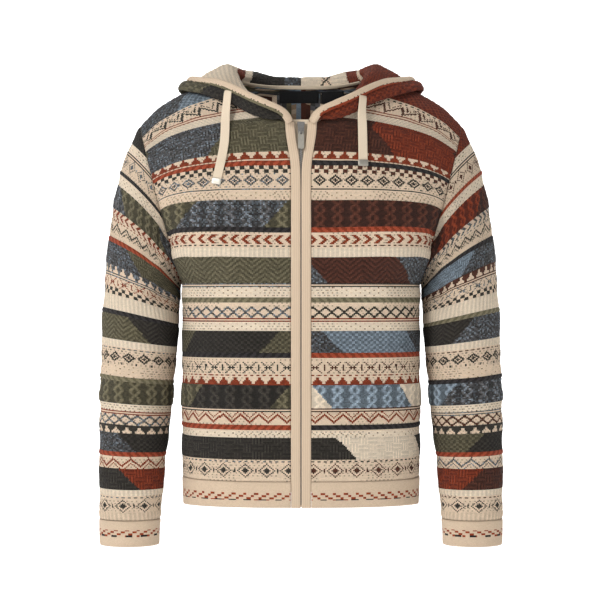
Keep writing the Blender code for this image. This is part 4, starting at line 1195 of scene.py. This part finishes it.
COARSE = 3              # cells of the outer grid to one of the inner
FRONT_FINE = 34 * COARSE        # cells across a front or half of the back
BODY_FINE = (52 * COARSE, 41 * COARSE, 16 * COARSE)     # up to the armpit, neck and top
SLEEVE_FINE, SLEEVE_ROWS = 90 * COARSE, 111 * COARSE    # cells round a sleeve, and down it
TILT_LOSS = 0.55        # how much less the sleeve's courses tilt than its rings
TILT_END, TILT_FADE = 0.62, 0.30        # where that ends down the sleeve, and its reach
SLEEVE_DENSE = 0.40     # length at the top of a sleeve where its rings are tried closest

# Places in the flat picture that bakes are made in: left, bottom, right and top.
SIDE_BY_SIDE = ((0.0, 0.0, 0.48, 0.98), (0.50, 0.0, 0.98, 0.98))
STACKED = ((0.0, 0.0, 0.98, 0.48), (0.0, 0.50, 0.98, 0.98))
SLEEVE_PLACES = ((0.0, 0.0, 0.66, 0.98), (0.68, 0.0, 0.98, 0.98))
WHOLE = (0.0, 0.0, 0.98, 0.98)


def fine_rows():
    """Heights of the courses of a front or the back, and the last row below the neck."""
    armpit = ARMPIT - HEM_TOP
    top = armpit + UPPER_COURSES
    ends = (GAP, armpit, armpit + UPPER_COURSES * V_ROW, top)
    found = [np.linspace(a, b, n + 1)[:-1] for a, b, n in zip(ends, ends[1:], BODY_FINE)]
    return np.concatenate(found + [[top]]), BODY_FINE[0] + BODY_FINE[1]


def panel_knit(front):
    """A half panel's base and way out, its spread, and how far each point is from an edge.

    The first value is the last row that ends in the middle, below the neck.
    """
    heights, split = fine_rows()
    base, out = panel_surface(front, heights, np.linspace(0, 1, FRONT_FINE + 1))
    across = across_rows(base)
    side = across[:, -1:] - across
    edges = np.minimum(side, heights[-1] - heights[:, None])
    inner = front | (np.arange(len(heights)) > split)[:, None]
    edges = np.where(inner, np.minimum(edges, across), edges)
    return split, base, out, metres(across, heights), np.minimum(edges, heights[:, None])


def stitched(piece, bands, cords, base, out, spread, edges, turn=1.0):
    """Outer and inner grids of a piece, and the colours of its outer and inner faces."""
    relief = chart(piece, bands, cords, spread[..., 0] * turn, spread[..., 1])[1]
    raised_cords = cord_relief(base, spread[..., 1], cords, CORD_SINK)
    outer, middle = worn(base, out, edges, relief, raised_cords)
    inner = (middle - out * WALL)[::COARSE, ::COARSE]
    fine, coarse = (np.moveaxis(middles(grid) * [turn, 1.0], -1, 0)
                    for grid in (spread, spread[::COARSE, ::COARSE]))
    colour = chart(piece, bands, cords, *fine)[0]
    if piece == "back":
        return outer, inner, colour, floats(*coarse)
    return outer, inner, colour, 0.92 * chart(piece, bands, (), *coarse, plain=True)[0]


def on_side(side, *grids):
    """Grids made for the wearer's left, on either side."""
    return [mirrored(grid) if side == "right" else grid for grid in grids]


def ring_or_strip(cloth, grid, closed):
    """Places a grid's points, where a closed one ends in its own first column."""
    return wrapped(cloth.place(grid[:, :-1])) if closed else cloth.place(grid)


def two_faced(name, grids, spreads, places, colours, edge, flip, finish, closed=False):
    """A piece with an outer and an inner face, closed at its edges.

    Its grids, spreads, places and colours each hold the outer face's, then the inner's.
    """
    cloth = Cloth()
    numbers = [ring_or_strip(cloth, grid, closed) for grid in grids]
    for face in zip(numbers, spreads, places, colours, (flip, not flip)):
        cloth.quads(*face)
    cloth.rims(*numbers, edge, flip, sides=not closed)
    return cloth.build(name, finish)


def knit_front(side, finish):
    """A front, from the hem to the neck and the shoulder, and from placket to side."""
    piece = "front_" + side
    _, base, out, spread, edges = panel_knit(True)
    *grids, colour, lining = stitched(piece, BODY_LAYOUT, BODY_CORDS, base, out, spread, edges)
    return two_faced("knit_" + piece, on_side(side, *grids),
                     (spread, spread[::COARSE, ::COARSE]), SIDE_BY_SIDE, (colour, lining),
                     YARN["ecru"], side == "right", finish)


def knit_back(finish):
    """The back: two half panels that share their points down the middle."""
    split, base, out, spread, edges = panel_knit(False)
    cloth = Cloth()
    numbers = []
    for side, turn, left in (("left", 1.0, 0.31), ("right", -1.0, 0.0)):
        *grids, colour, lining = stitched("back", BODY_LAYOUT, BODY_CORDS, base, out, spread,
                                          edges, turn)
        a, b = (cloth.place(grid) for grid in on_side(side, *grids))
        if numbers:
            a[:split + 1, 0] = numbers[0][:split + 1, 0]
            b[:split // COARSE + 1, 0] = numbers[1][:split // COARSE + 1, 0]
        numbers += [a, b]
        flip, turned = side == "left", spread * [turn, 1.0]
        cloth.quads(a, turned, (left, 0.0, left + 0.30, 0.98), colour, flip)
        cloth.quads(b, turned[::COARSE, ::COARSE],
                    (0.63 + left / 2, 0.0, 0.78 + left / 2, 0.98), lining, not flip)
        cloth.rims(a, b, YARN["ecru"], flip, sides=False)
        cloth.rim(a[:, -1], b[:, -1], YARN["ecru"], flip)
        cloth.rim(a[split:, 0], b[split // COARSE:, 0], YARN["ecru"], not flip)
    return cloth.build("knit_back", finish)


def sleeve_courses():
    """The sleeve's knit, whose courses tilt less than its rings and end at the armhole.

    Gives its grid, which way is out, its spread, how far each point is from the armhole,
    and in each column the last row that still lies on the armhole.
    """
    turns = np.arange(SLEEVE_FINE + 1) * 2 * math.pi / SLEEVE_FINE
    long = lengths(np.asarray(SLEEVE)[:, 2:4])[-1] - GAP
    dense = np.concatenate([np.linspace(0, SLEEVE_DENSE, 240)[:-1],
                            np.linspace(SLEEVE_DENSE, long, 150)])
    base, out = sleeve_surface(dense, turns[:-1])
    base, out = wrapped(base), wrapped(out)
    across = across_rows(base)
    across = across - across[:, SLEEVE_FINE // 2][:, None]
    arm = np.array([SLEEVE[-1][2] - SLEEVE[0][2], 0.0, SLEEVE[-1][3] - SLEEVE[0][3]])
    straight = (base - base[0, SLEEVE_FINE // 2]) @ (arm / np.linalg.norm(arm))
    share = TILT_LOSS * eased(TILT_END - dense, TILT_FADE)[:, None]
    run = (1 - share) * dense[:, None] + share * straight
    run[-1] = long
    run = np.maximum.accumulate(run + 1e-7 * np.arange(len(dense))[:, None], axis=0)
    rows = np.linspace(0, run[-1].max(), SLEEVE_ROWS + 1)
    known = np.concatenate([base, out, metres(across, dense)], axis=-1)
    found = np.empty((len(rows), SLEEVE_FINE + 1, known.shape[-1]))
    for column in range(SLEEVE_FINE + 1):
        for k in range(known.shape[-1]):
            found[:, column, k] = np.interp(rows, run[:, column], known[:, column, k])
    spread = np.stack([found[..., 6], np.maximum(rows[:, None], run[:1])], axis=-1)
    last = np.maximum((rows[:, None] <= run[:1]).sum(axis=0) - 1, 0)
    last[-1] = last[0]
    edges = np.minimum(found[..., 7], long - found[..., 7])
    return found[..., :3], found[..., 3:6], spread, edges, last


def gathered(index, last):
    """A grid's point numbers, where the rows up to `last` in a column are one point."""
    rows = np.maximum(np.arange(len(index))[:, None], last[None])
    return index[rows, np.arange(index.shape[1])[None]]


def knit_sleeve(side, finish):
    """A sleeve, knitted round from the armhole down to the cuff."""
    piece, flip = "sleeve_" + side, side == "left"
    base, out, spread, edges, last = sleeve_courses()
    *grids, colour, lining = stitched(piece, SLEEVE_LAYOUT, SLEEVE_CORDS, base, out, spread,
                                      edges)
    outer, inner = on_side(side, *grids)
    cloth = Cloth()
    a = wrapped(gathered(cloth.place(outer[:, :-1]), last[:-1]))
    b = wrapped(gathered(cloth.place(inner[:, :-1]), last[:-1:COARSE] // COARSE))
    cloth.quads(a, spread, SLEEVE_PLACES[0], colour, flip)
    cloth.quads(b, spread[::COARSE, ::COARSE], SLEEVE_PLACES[1], lining, not flip)
    cloth.rims(a, b, YARN["ecru"], flip, sides=False)
    return cloth.build("knit_" + piece, finish)


# ---- bands, hood and casing --------------------------------------------------------

BAND_STITCH, BAND_COURSE = 0.0021, 0.0017
BAND_EDGE = 0.0016      # how near its edges the outer face of a doubled band turns in
HEM_STRIP, CUFF_STRIP = (0.0115, 0.0135), (0.0165, 0.0115)  # start and height, from below
HEM_FINE, CUFF_FINE, CUFF_ROWS = 24, 180, 26        # cells up the hem, round a cuff, up it
PLACKET_FINE, PLACKET_EDGE = (279, 12), 0.0013      # cells up and across, and its turn in


def band_colour(u, v, first, height):
    """A doubled ecru band with one narrow worked strip."""
    i = np.floor(u / BAND_STITCH + 1000.5).astype(int)
    j = np.floor((v - first) / BAND_COURSE).astype(int)
    yarns = np.full(u.shape, "band", dtype="<U12")
    strip = (j >= 0) & (j < round(height / BAND_COURSE))
    yarns[strip & ((i // 3 + j // 2) % 3 == 0)] = "rust"
    yarns[strip & (i % 12 < 5) & (j < 2)] = "black"
    return yarn_colour(yarns, i, j)


def knit_band(name, grids, spread, strip, finish, closed=False, side="left", flip=False):
    """A band from two grids of the same size, with the worked strip on the outer one."""
    u, v = np.moveaxis(middles(spread), -1, 0)
    plain = yarn_colour(np.full(u.shape, "band", dtype="<U12"),
                        np.arange(u.shape[1])[None] + 0 * u, v)
    return two_faced(name, on_side(side, *grids), (spread, spread), STACKED,
                     (band_colour(u, v, *strip), plain), YARN["band"],
                     flip != (side == "right"), finish, closed)


def whole_back(grid):
    """A left half from the middle to the side, and its mirror image, as one grid."""
    return np.concatenate([mirrored(grid)[:, :0:-1], grid], axis=1)


def doubled(grid, out, heights):
    """The two faces of a doubled band, whose outer one turns in at its edges."""
    near = np.minimum(heights - heights[0], heights[-1] - heights)
    proud = (BAND_WALL - WALL) * (1 - 0.75 * np.exp(-(near / BAND_EDGE) ** 2))
    return grid + out * proud[:, None, None], grid - out * WALL


def make_bands(finish):
    """The hem's two fronts and back, and the cuffs: their nodes, flat sizes and pieces."""
    made = []
    heights = np.linspace(HEM_BOTTOM, HEM_TOP - GAP, HEM_FINE + 1) - HEM_TOP
    shares = np.linspace(0, 1, FRONT_FINE + 1)
    strip = (heights[0] + HEM_STRIP[0], HEM_STRIP[1])
    for front in (True, False):
        grid = half_panel(front, heights, shares)
        grid[..., 2] -= HEM_DIP * (heights / heights[0])[:, None] * shares ** 4
        grids = doubled(grid, panel_out(grid, heights, front), heights)
        spread = metres(across_rows(grid), heights)
        if front:
            for side in ("left", "right"):
                made.append((["hem_front_" + side], (0.258, 0.0435), knit_band(
                    "band_hem_front_" + side, grids, spread, strip, finish, side=side)))
        else:
            spread = np.concatenate([spread[:, :0:-1] * [-1.0, 1.0], spread], axis=1)
            made.append((["hem_back_left", "hem_back_right"], (0.539, 0.0435), knit_band(
                "band_hem_back", [whole_back(face) for face in grids], spread, strip, finish,
                flip=True)))
    turns = np.arange(CUFF_FINE) * 2 * math.pi / CUFF_FINE
    long = lengths(np.asarray(CUFF)[:, 2:4])[-1]
    heights = np.linspace(0, long, CUFF_ROWS + 1)
    ring = sleeve_grid(CUFF, heights, turns)
    out = wrapped(normals(ring, closed=True, reverse=True))
    ring = wrapped(ring)
    grids = doubled(ring, out, heights)
    spread = metres(across_rows(ring), long - heights)
    for side in ("left", "right"):
        made.append((["cuff_" + side], (0.302, 0.043), knit_band(
            "band_cuff_" + side, grids, spread, CUFF_STRIP, finish, closed=True, side=side,
            flip=True)))
    return made


def make_placket_covers(finish):
    """The narrow bands on both sides of the zip, by the nodes that they stand in for."""
    z = np.linspace(HEM_BOTTOM, CENTRE[-1][0], PLACKET_FINE[0] + 1)
    edge, depth = table_at(CENTRE, z).T
    across = np.linspace(0, PLACKET_WIDTH, PLACKET_FINE[1] + 1)
    grid = np.stack(np.broadcast_arrays(edge[:, None] + across, -depth[:, None], z[:, None]),
                    axis=-1).astype(float)
    out = normals(grid)
    near = np.minimum(across, PLACKET_WIDTH - across)
    proud = PLACKET_PROUD * (1 - 0.8 * np.exp(-(near / PLACKET_EDGE) ** 2))
    spread = np.stack(np.broadcast_arrays(across[None], z[:, None]), axis=-1).astype(float)
    grids = grid + out * proud[None, :, None], grid - out * PLACKET_DEEP
    return {"placket_" + side: knit_band("band_placket_" + side, grids, spread, (0.0, 0.0),
                                         finish, side=side) for side in ("left", "right")}


def coarse_surfaces():
    """The solids' own outer grids of a front, the back, its inside, and a sleeve."""
    heights, shares = body_rows(), np.linspace(0, 1, FRONT_CELLS + 1)
    heights[0] += GAP
    found = []
    for front in (True, False):
        base, out = panel_surface(front, heights, shares)
        relief = cord_relief(base, heights[:, None], BODY_CORDS, 1.0)
        found.append(base + out * relief[..., None])
    found.append(base - out * WALL)
    turns = np.arange(SLEEVE_CELLS) * 2 * math.pi / SLEEVE_CELLS
    heights = row_heights([0.0, lengths(np.asarray(SLEEVE)[:, 2:4])[-1]], SLEEVE_CORDS)
    heights[-1] -= GAP
    base, out = sleeve_surface(heights, turns)
    relief = cord_relief(base, heights[:, None], SLEEVE_CORDS, 1.0)
    found.append(base + out * relief[..., None])
    return found


def finer(grid, rows, columns):
    """A grid drawn again through the same points with more rows and columns."""
    count = grid.shape[:2]
    grid = spline(np.arange(count[0]), grid, np.linspace(0, count[0] - 1, rows))
    grid = spline(np.arange(count[1]), grid.swapaxes(0, 1),
                  np.linspace(0, count[1] - 1, columns))
    return grid.swapaxes(0, 1)


def with_twin(grid):
    """A left half up to the middle, and its mirror image, as one grid."""
    return np.concatenate([grid, mirrored(grid)[:, -2::-1]], axis=1)


def level_start(out):
    """Makes the first column of some directions lie in the plane of the zip."""
    out[:, 0, 0] = 0.0
    out[:, 0] = unit(out[:, 0])


HOOD_FINE = (90, 103)   # points up half of the hood, and along its seam


def fine_hood(trees):
    """The middle of the left half of the hood, which way is out, and its solid's edge."""
    coarse, outs = hood_grid(np.linspace(0, 1, HOOD_ROWS), trees)
    grid = finer(coarse, *HOOD_FINE)
    grid[:, -1, 0] = 0.0
    out = normals(with_twin(grid))[:, :grid.shape[1]]
    out[0] = unit(denser(outs, grid.shape[1]))
    level_start(out)
    ends = normals(with_twin(coarse))[:, :coarse.shape[1]]
    level_start(ends)
    return grid, out, coarse, ends


HOOD_CALM, HOOD_CRUMPLE, HOOD_DIP = 0.012, 0.8, 0.0008      # as CALM and SEAM_DIP are


def make_hood(grid, out, finish):
    """The hood's two halves, by the nodes that they stand in for."""
    made = {}
    up, seam = across_rows(grid.swapaxes(0, 1)).T, across_rows(grid)
    down, back = up[-1:] - up, seam[:, -1:] - seam
    edges = np.minimum(np.minimum(up, down), back)
    soft = HOOD_CRUMPLE * crumple(grid) * eased(edges, HOOD_CALM)
    for side, turn in (("left", 1.0), ("right", -1.0)):
        piece = "hood_" + side
        relief = chart(piece, HOOD_OUT, (), seam * turn, down)[1]
        lift = soft + relief * eased(edges, RELIEF_REACH)
        lift -= HOOD_DIP * np.exp(-(edges / SEAM_HALF) ** 2)
        outer = grid + out * (WALL / 2 + lift)[..., None]
        relief = chart(piece, HOOD_IN[side], (), up, back)[1]
        under = soft - relief * eased(edges, RELIEF_REACH)
        inner = grid - out * (WALL / 2 - under)[..., None]
        colour = chart(piece, HOOD_OUT, (), middles(seam) * turn, middles(down))[0]
        lining = chart(piece, HOOD_IN[side], (), middles(up), middles(back))[0]
        spreads = np.stack([seam, down], axis=-1), np.stack([up, back], axis=-1)
        made[piece] = two_faced("knit_" + piece, on_side(side, outer, inner), spreads,
                                STACKED, (colour, lining), YARN["ecru"], side == "right",
                                finish)
    return made


def swept(name, centres, ups, profile, finish, colour=None, scales=None):
    """A closed strip along a line. The profile is (wide, thin) points round its section."""
    ahead = unit(np.gradient(centres, axis=0))
    ups = unit(ups - ahead * (ups * ahead).sum(axis=1, keepdims=True))
    wide = np.cross(ahead, ups)
    scales = np.ones(len(centres)) if scales is None else scales
    section = profile * scales[:, None, None]
    points = (centres[:, None] + wide[:, None] * section[..., :1]
              + ups[:, None] * section[..., 1:])
    cloth = Cloth()
    index = cloth.place(points)
    if colour is None:
        colour = np.broadcast_to(YARN["band"], (len(points) - 1, len(profile), 3))
    cloth.quads(wrapped(index), metres(across_rows(wrapped(points)), lengths(centres)), WHOLE,
                colour)
    for ring, turn in ((index[0], -1), (index[-1], 1)):
        flat = profile[None, ::turn]
        cloth.faces.append(ring[None, ::turn])
        cloth.spread.append(flat)
        cloth.atlas.append(0.985 + flat * 0.2)
        cloth.colour.append(np.array([YARN["band"]]))
    return cloth.build(name, finish)


def rounded(half_wide, half_thin, sides, power):
    """Points round a rounded section."""
    turn = np.arange(sides) * 2 * math.pi / sides + math.pi / sides
    x = np.sign(np.cos(turn)) * np.abs(np.cos(turn)) ** (2 / power) * half_wide
    y = np.sign(np.sin(turn)) * np.abs(np.sin(turn)) ** (2 / power) * half_thin
    return np.stack([x, y], axis=-1)


def denser(line, parts):
    """A line drawn again with more points."""
    return spline(np.arange(len(line)), line, np.linspace(0, len(line) - 1, parts))


CASING_LIFT, CASING_REACH, CASING_DROP = 0.0035, 0.0025, 0.0015     # at its two ends
CASING_TAPER, TAPER_REACH = 0.22, 0.003     # how much thinner its ends are, and how soon
CASING_FOLD = -0.0022   # how far below its middle the casing's colour changes
FOLD_UNEVEN, FOLD_LINE = 0.0004, 0.0006     # how much that wavers, and half its dark line
CASING_PLAIN = 0.016    # the length at its ends that has one colour
CASING_PARTS, STRIP_SIDES = 340, 28     # rings along the casing, and points round any strip


def make_casing(edge, before, outs, finish):
    """The soft roll along the hood's edge that the drawstrings run in."""
    centres = edge + unit(edge - before) * (BAND_WIDTH / 2 + GAP)
    centres[0] = BAND_START[1]
    centres[1] += outs[1] * CASING_LIFT
    first, second = np.asarray(BAND_START)
    start = first + (first - second) / np.linalg.norm(first - second) * CASING_REACH
    centres = np.vstack([[start + np.array([0.0, 0.0, -CASING_DROP])], centres])
    ups = np.vstack([outs[:1], outs])
    ups[:2] = (0.0, -1.0, 0.25)
    centres, ups = (denser(np.concatenate([line, mirrored(line)[-2::-1]]), CASING_PARTS)
                    for line in (centres, ups))
    profile = rounded(BAND_WIDTH / 2, BAND_THICK / 2, STRIP_SIDES, 2.3)
    run = lengths(centres)
    near = np.minimum(run, run[-1] - run)
    wobble = 1 + 0.022 * np.sin(run * 190) * np.sin(run * 67 + 1) + 0.02 * np.sin(run * 31 + 2)
    taper = 1 - CASING_TAPER * np.exp(-near / TAPER_REACH)
    wide = np.cross(unit(np.gradient(centres, axis=0)), ups)
    around = (profile + np.roll(profile, -1, axis=0)) / 2
    low = (wide[:-1, None, 2] * around[None, :, 0] + ups[:-1, None, 2] * around[None, :, 1])
    low = low + np.where(near < CASING_PLAIN, 1.0, 0.0)[:-1, None]
    own = np.where(centres[:-1, None, 0] + 0 * low < 0, "olive", "rust")
    stitch = np.floor(run[:-1] / BAND_STITCH)[:, None] + np.zeros(low.shape)
    low = low + FOLD_UNEVEN * (hashed(stitch, 7.0) - 0.5)
    yarns = np.where(low < CASING_FOLD, own, "band")
    at_fold = (np.abs(low - CASING_FOLD) < FOLD_LINE) & (stitch % 3 == 0)
    yarns = np.where(at_fold, "charcoal", yarns)
    colour = yarn_colour(yarns, stitch, np.arange(low.shape[1])[None] + 0 * low)
    return swept("casing", centres, ups, profile, finish, colour, scales=wobble * taper)


# ---- the zip, drawstrings and labels -----------------------------------------------

TEETH_PITCH = 0.0015
TEETH_ENDS = (0.005, 0.004)     # left free over the hem's edge, and under the slider
TOOTH_SHARES = (0.34, 0.46, 0.40)   # half a tooth's width, depth and height
TOOTH_ASIDE = 0.15      # how far each row is from the middle, as a share of their width
TOOTH_FACES = ((0, 1, 3, 2), (4, 6, 7, 5), (0, 4, 5, 1), (2, 3, 7, 6), (0, 2, 6, 4),
               (1, 5, 7, 3))


def make_teeth(finish):
    """Two rows of small metal teeth that close between each other."""
    z = np.arange(HEM_BOTTOM + TEETH_ENDS[0], SLIDER_Z - TEETH_ENDS[1], TEETH_PITCH)
    box = np.array([(x, y, k) for x in (-1, 1) for y in (-1, 1) for k in (-1, 1)], float)
    sizes = np.array([TEETH_WIDTH, TEETH_THICK, TEETH_PITCH]) * TOOTH_SHARES
    corners = zip_line(z, TEETH_BEHIND)[:, None] + box[None] * sizes
    side = np.where(np.arange(len(z)) % 2, 1.0, -1.0)
    corners[..., 0] += side[:, None] * TEETH_WIDTH * TOOTH_ASIDE
    faces = np.array(TOOTH_FACES)[None] + len(box) * np.arange(len(z))[:, None, None]
    return plain_mesh("teeth", corners.reshape(-1, 3).tolist(),
                      faces.reshape(-1, 4).tolist(), finish)


CORD_RISE = 0.0048      # how far a drawstring reaches up under its casing
CORD_FINE, CORD_HIDDEN = 97, 4      # points down a drawstring, and more under the casing
TIP_SHAPE = ((0.0, 0.90), (0.04, 0.97), (0.12, 1.0), (0.5, 1.0), (0.88, 1.0), (0.96, 0.97),
             (1.0, 0.90))           # shares of its length, and of its width there


def make_cord(side, points, trees, cloth_finish, metal):
    """A flat drawstring that hangs from the casing, with a metal tip at its end."""
    line, ups = hang(points, trees, CORD_CLEAR[side])
    for _ in range(4):
        ups[1:-1] = (ups[:-2] + 2 * ups[1:-1] + ups[2:]) / 4
        ups[0] = (ups[0] + ups[1]) / 2
    ups = unit(ups)
    end = line[-1] - line[-2]
    end /= np.linalg.norm(end)
    fine, thin = denser(line, CORD_FINE), denser(ups, CORD_FINE)
    rise = fine[0] - fine[1]
    rise = rise / np.linalg.norm(rise) - 0.35 * thin[0]
    above = fine[0] + np.linspace(CORD_RISE, 0, CORD_HIDDEN + 1)[:-1, None] * rise
    fine, thin = np.vstack([above, fine]), np.vstack([thin[:1]] * CORD_HIDDEN + [thin])
    tape = swept("drawcord_" + side, fine, thin,
                 rounded(CORD_WIDTH / 2, CORD_THICK / 2, STRIP_SIDES, 4.5), cloth_finish)
    shares, scales = np.array(TIP_SHAPE).T
    tip = line[-1] + end * (GAP + shares[:, None] * TIP_LENGTH)
    tip = tip + ups[-1] * (TIP_THICK - CORD_THICK) / 2
    cap = swept("cord_end_" + side, tip, np.repeat(ups[-1:], len(tip), axis=0),
                rounded(TIP_WIDTH / 2, TIP_THICK / 2, STRIP_SIDES, 5.0), metal, scales=scales)
    dressed(tape, ["drawstring_" + side])
    dressed(cap, ["tip_" + side])


LABEL_STEP, LABEL_EDGE = 0.002, 0.0015      # between its points, and where its edge thins
LABEL_BLACK = (0.012, 0.012, 0.013)


def make_label_cover(name, edges, tree, finish):
    """A bare label that lies on the inside of the back."""
    left, right, bottom, top = edges
    x = np.linspace(left, right, round((right - left) / LABEL_STEP) + 1)
    z = np.linspace(bottom, top, round((top - bottom) / LABEL_STEP) + 1)
    grid = np.array([[(a, ahead_hit(a, b, [tree], start=0.0) - 2 * GAP, b) for a in x]
                     for b in z])
    across = across_rows(grid)
    spread = metres(across, z)
    near = np.minimum(np.minimum(across, across[:, -1:] - across),
                      np.minimum(z - bottom, top - z)[:, None])
    thick = LABEL_THICK * (1 - 0.5 * np.exp(-(near / LABEL_EDGE) ** 2))
    front = grid - np.array([0.0, 1.0, 0.0]) * thick[..., None]
    colour = np.broadcast_to(LABEL_BLACK, (len(z) - 1, len(x) - 1, 3))
    return two_faced(name, (front, grid), (spread, spread), SIDE_BY_SIDE, (colour, colour),
                     LABEL_BLACK, False, finish)


# ---- the stage ---------------------------------------------------------------------

PIXEL, VIEW_DISTANCE = 0.0017, 3.1      # metres to a pixel of the photograph, and away
PHOTO_SIZE, PHOTO_MIDDLE, PHOTO_ZERO = 600, 301, 105    # its width, and the origin in it
SENSOR = 36.0           # width of the camera's, in millimetres
FLOOR_HALF, FLOOR_LEVEL, BACKDROP_BEHIND = 30.0, -1.05, 4.0
HORIZON_RADIUS, HORIZON_TOP, HORIZON_PARTS = 29.0, 5.4, 48
PALE, WORLD_LIGHT, GLOW, HORIZON_GLOW = 0.90, 0.10, 0.62, 1.0   # 0 is black
# Each light's name, place, target, size and power.
LIGHTS = (
    ("key", (-1.8, -2.2, 1.2), (0.0, 0.0, -0.3), 1.0, 70.0),
    ("fill", (1.9, -2.4, 0.6), (0.0, 0.0, -0.35), 1.8, 5.0),
    ("top", (0.0, 0.3, 2.4), (0.0, 0.0, 0.0), 1.6, 16.0),
)


def pale_finish(name, glow):
    """White that shines a little by itself."""
    nodes = Nodes(name, 0.9)
    nodes.set("Base Color", (PALE, PALE, PALE, 1.0))
    nodes.set("Emission Color", (1.0, 1.0, 1.0, 1.0))
    nodes.set("Emission Strength", glow)
    return nodes.material


def make_horizon():
    """A low pale ring round the floor, so that a low view from any side ends in white."""
    turns = np.arange(HORIZON_PARTS) * 2 * math.pi / HORIZON_PARTS
    points = [(HORIZON_RADIUS * math.cos(t), HORIZON_RADIUS * math.sin(t), z)
              for z in (FLOOR_LEVEL, HORIZON_TOP) for t in turns]
    faces = [(k, (k + 1) % HORIZON_PARTS, HORIZON_PARTS + (k + 1) % HORIZON_PARTS,
              HORIZON_PARTS + k) for k in range(HORIZON_PARTS)]
    plain_mesh("horizon", points, faces, pale_finish("pale_far", HORIZON_GLOW))


def make_stage():
    """A plain pale floor and backdrop, soft lights and the photograph's camera."""
    pale = pale_finish("pale", GLOW)
    half, low, behind = FLOOR_HALF, FLOOR_LEVEL, BACKDROP_BEHIND
    for name, corners in (
            ("floor", ((-half, -half, low), (half, -half, low), (half, behind, low),
                       (-half, behind, low))),
            ("backdrop", ((-half, behind, low), (half, behind, low), (half, behind, half),
                          (-half, behind, half)))):
        plain_mesh(name, corners, [(0, 1, 2, 3)], pale)
    make_horizon()

    world = bpy.data.worlds.new("studio")
    world.use_nodes = True
    world.node_tree.nodes["Background"].inputs[0].default_value = (1.0, 1.0, 1.0, 1.0)
    world.node_tree.nodes["Background"].inputs[1].default_value = WORLD_LIGHT
    bpy.context.scene.world = world
    bpy.context.scene.view_settings.view_transform = "Standard"
    for name, place, target, size, power in LIGHTS:
        data = bpy.data.lights.new(name, "AREA")
        data.shape, data.size, data.energy = "DISK", size, power
        lamp = added(name, data)
        lamp.location = place
        lamp.rotation_mode = "QUATERNION"
        lamp.rotation_quaternion = (Vector(target) - Vector(place)).to_track_quat("-Z", "Y")

    data = bpy.data.cameras.new("camera")
    data.sensor_width = SENSOR
    data.lens = SENSOR * VIEW_DISTANCE / (PHOTO_SIZE * PIXEL)
    camera = added("camera", data)
    camera.location = ((PHOTO_SIZE / 2 - PHOTO_MIDDLE) * PIXEL, -VIEW_DISTANCE,
                       (PHOTO_ZERO - PHOTO_SIZE / 2) * PIXEL)
    camera.rotation_euler = (math.pi / 2, 0.0, 0.0)
    bpy.context.scene.camera = camera


# ---- the pieces together -----------------------------------------------------------

def dressed(piece, nodes):
    """A piece that rides on the garment and stands in for some of its nodes."""
    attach(piece, "garment")
    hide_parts(*nodes)


def cloth_piece(piece, nodes):
    """A piece of cloth that rides on the garment and stands in for some of its nodes."""
    dressed(piece, nodes)


def main():
    """Makes the stage and every piece, and gives the bare solids their materials."""
    make_stage()
    knit = knit_finish("thick_knit")
    band = knit_finish("band_knit", BAND_STITCH, BAND_COURSE, 0.30, 0.0004)
    rib = rib_finish("placket_rib", YARN["band"])
    tape = tape_finish("cord_tape", (0.63, 0.52, 0.39))
    label = tape_finish("label_cloth", LABEL_BLACK, 0.0006)
    nickel = metal_finish("nickel", (0.44, 0.41, 0.355), 0.46)
    dull = metal_finish("dull_nickel", (0.25, 0.24, 0.23), 0.45)

    front, back, inside, sleeve = coarse_surfaces()
    trees = [tree_of(front), tree_of(back, reverse=True),
             tree_of(sleeve, closed=True, reverse=True)]
    grid, out, coarse, ends = fine_hood(trees)
    ahead = [trees[0], tree_of(coarse + ends * WALL / 2)]
    make_cord("left", CORD_LEFT, ahead, tape, nickel)
    make_cord("right", CORD_RIGHT, ahead, tape, nickel)

    for side in ("left", "right"):
        cloth_piece(knit_front(side, knit), ["front_" + side])
        walls = ["sleeve_%s_%s_%s" % (side, level, face)
                 for level in ("upper", "lower") for face in ("front", "back")]
        cloth_piece(knit_sleeve(side, knit), walls)
    cloth_piece(knit_back(knit), ["back_left", "back_right"])
    for node, piece in make_hood(grid, out, knit).items():
        cloth_piece(piece, [node])
    for nodes, flat, piece in make_bands(band):
        cloth_piece(piece, nodes)
    for node, piece in make_placket_covers(rib).items():
        cloth_piece(piece, [node])

    dressed(make_casing(coarse[-1], coarse[-2], ends[-1], band), ["hood_band"])
    dressed(make_teeth(dull), ["zip_teeth"])

    tree = tree_of(inside)
    for name, edges, flat in (("neck_label", NECK_LABEL, (0.0684, 0.0224)),
                              ("care_label", CARE_LABEL, (0.0385, 0.0215))):
        piece = make_label_cover("cover_" + name, edges, tree, label)
        cloth_piece(piece, [name])
    for node, finish in (("zip_slider", dull), ("zip_pull", nickel), ("zip_tape", tape),
                         ("neck_tape", tape)):
        shown = bpy.data.objects[node]
        shown.data.materials.clear()
        shown.data.materials.append(finish)


main()
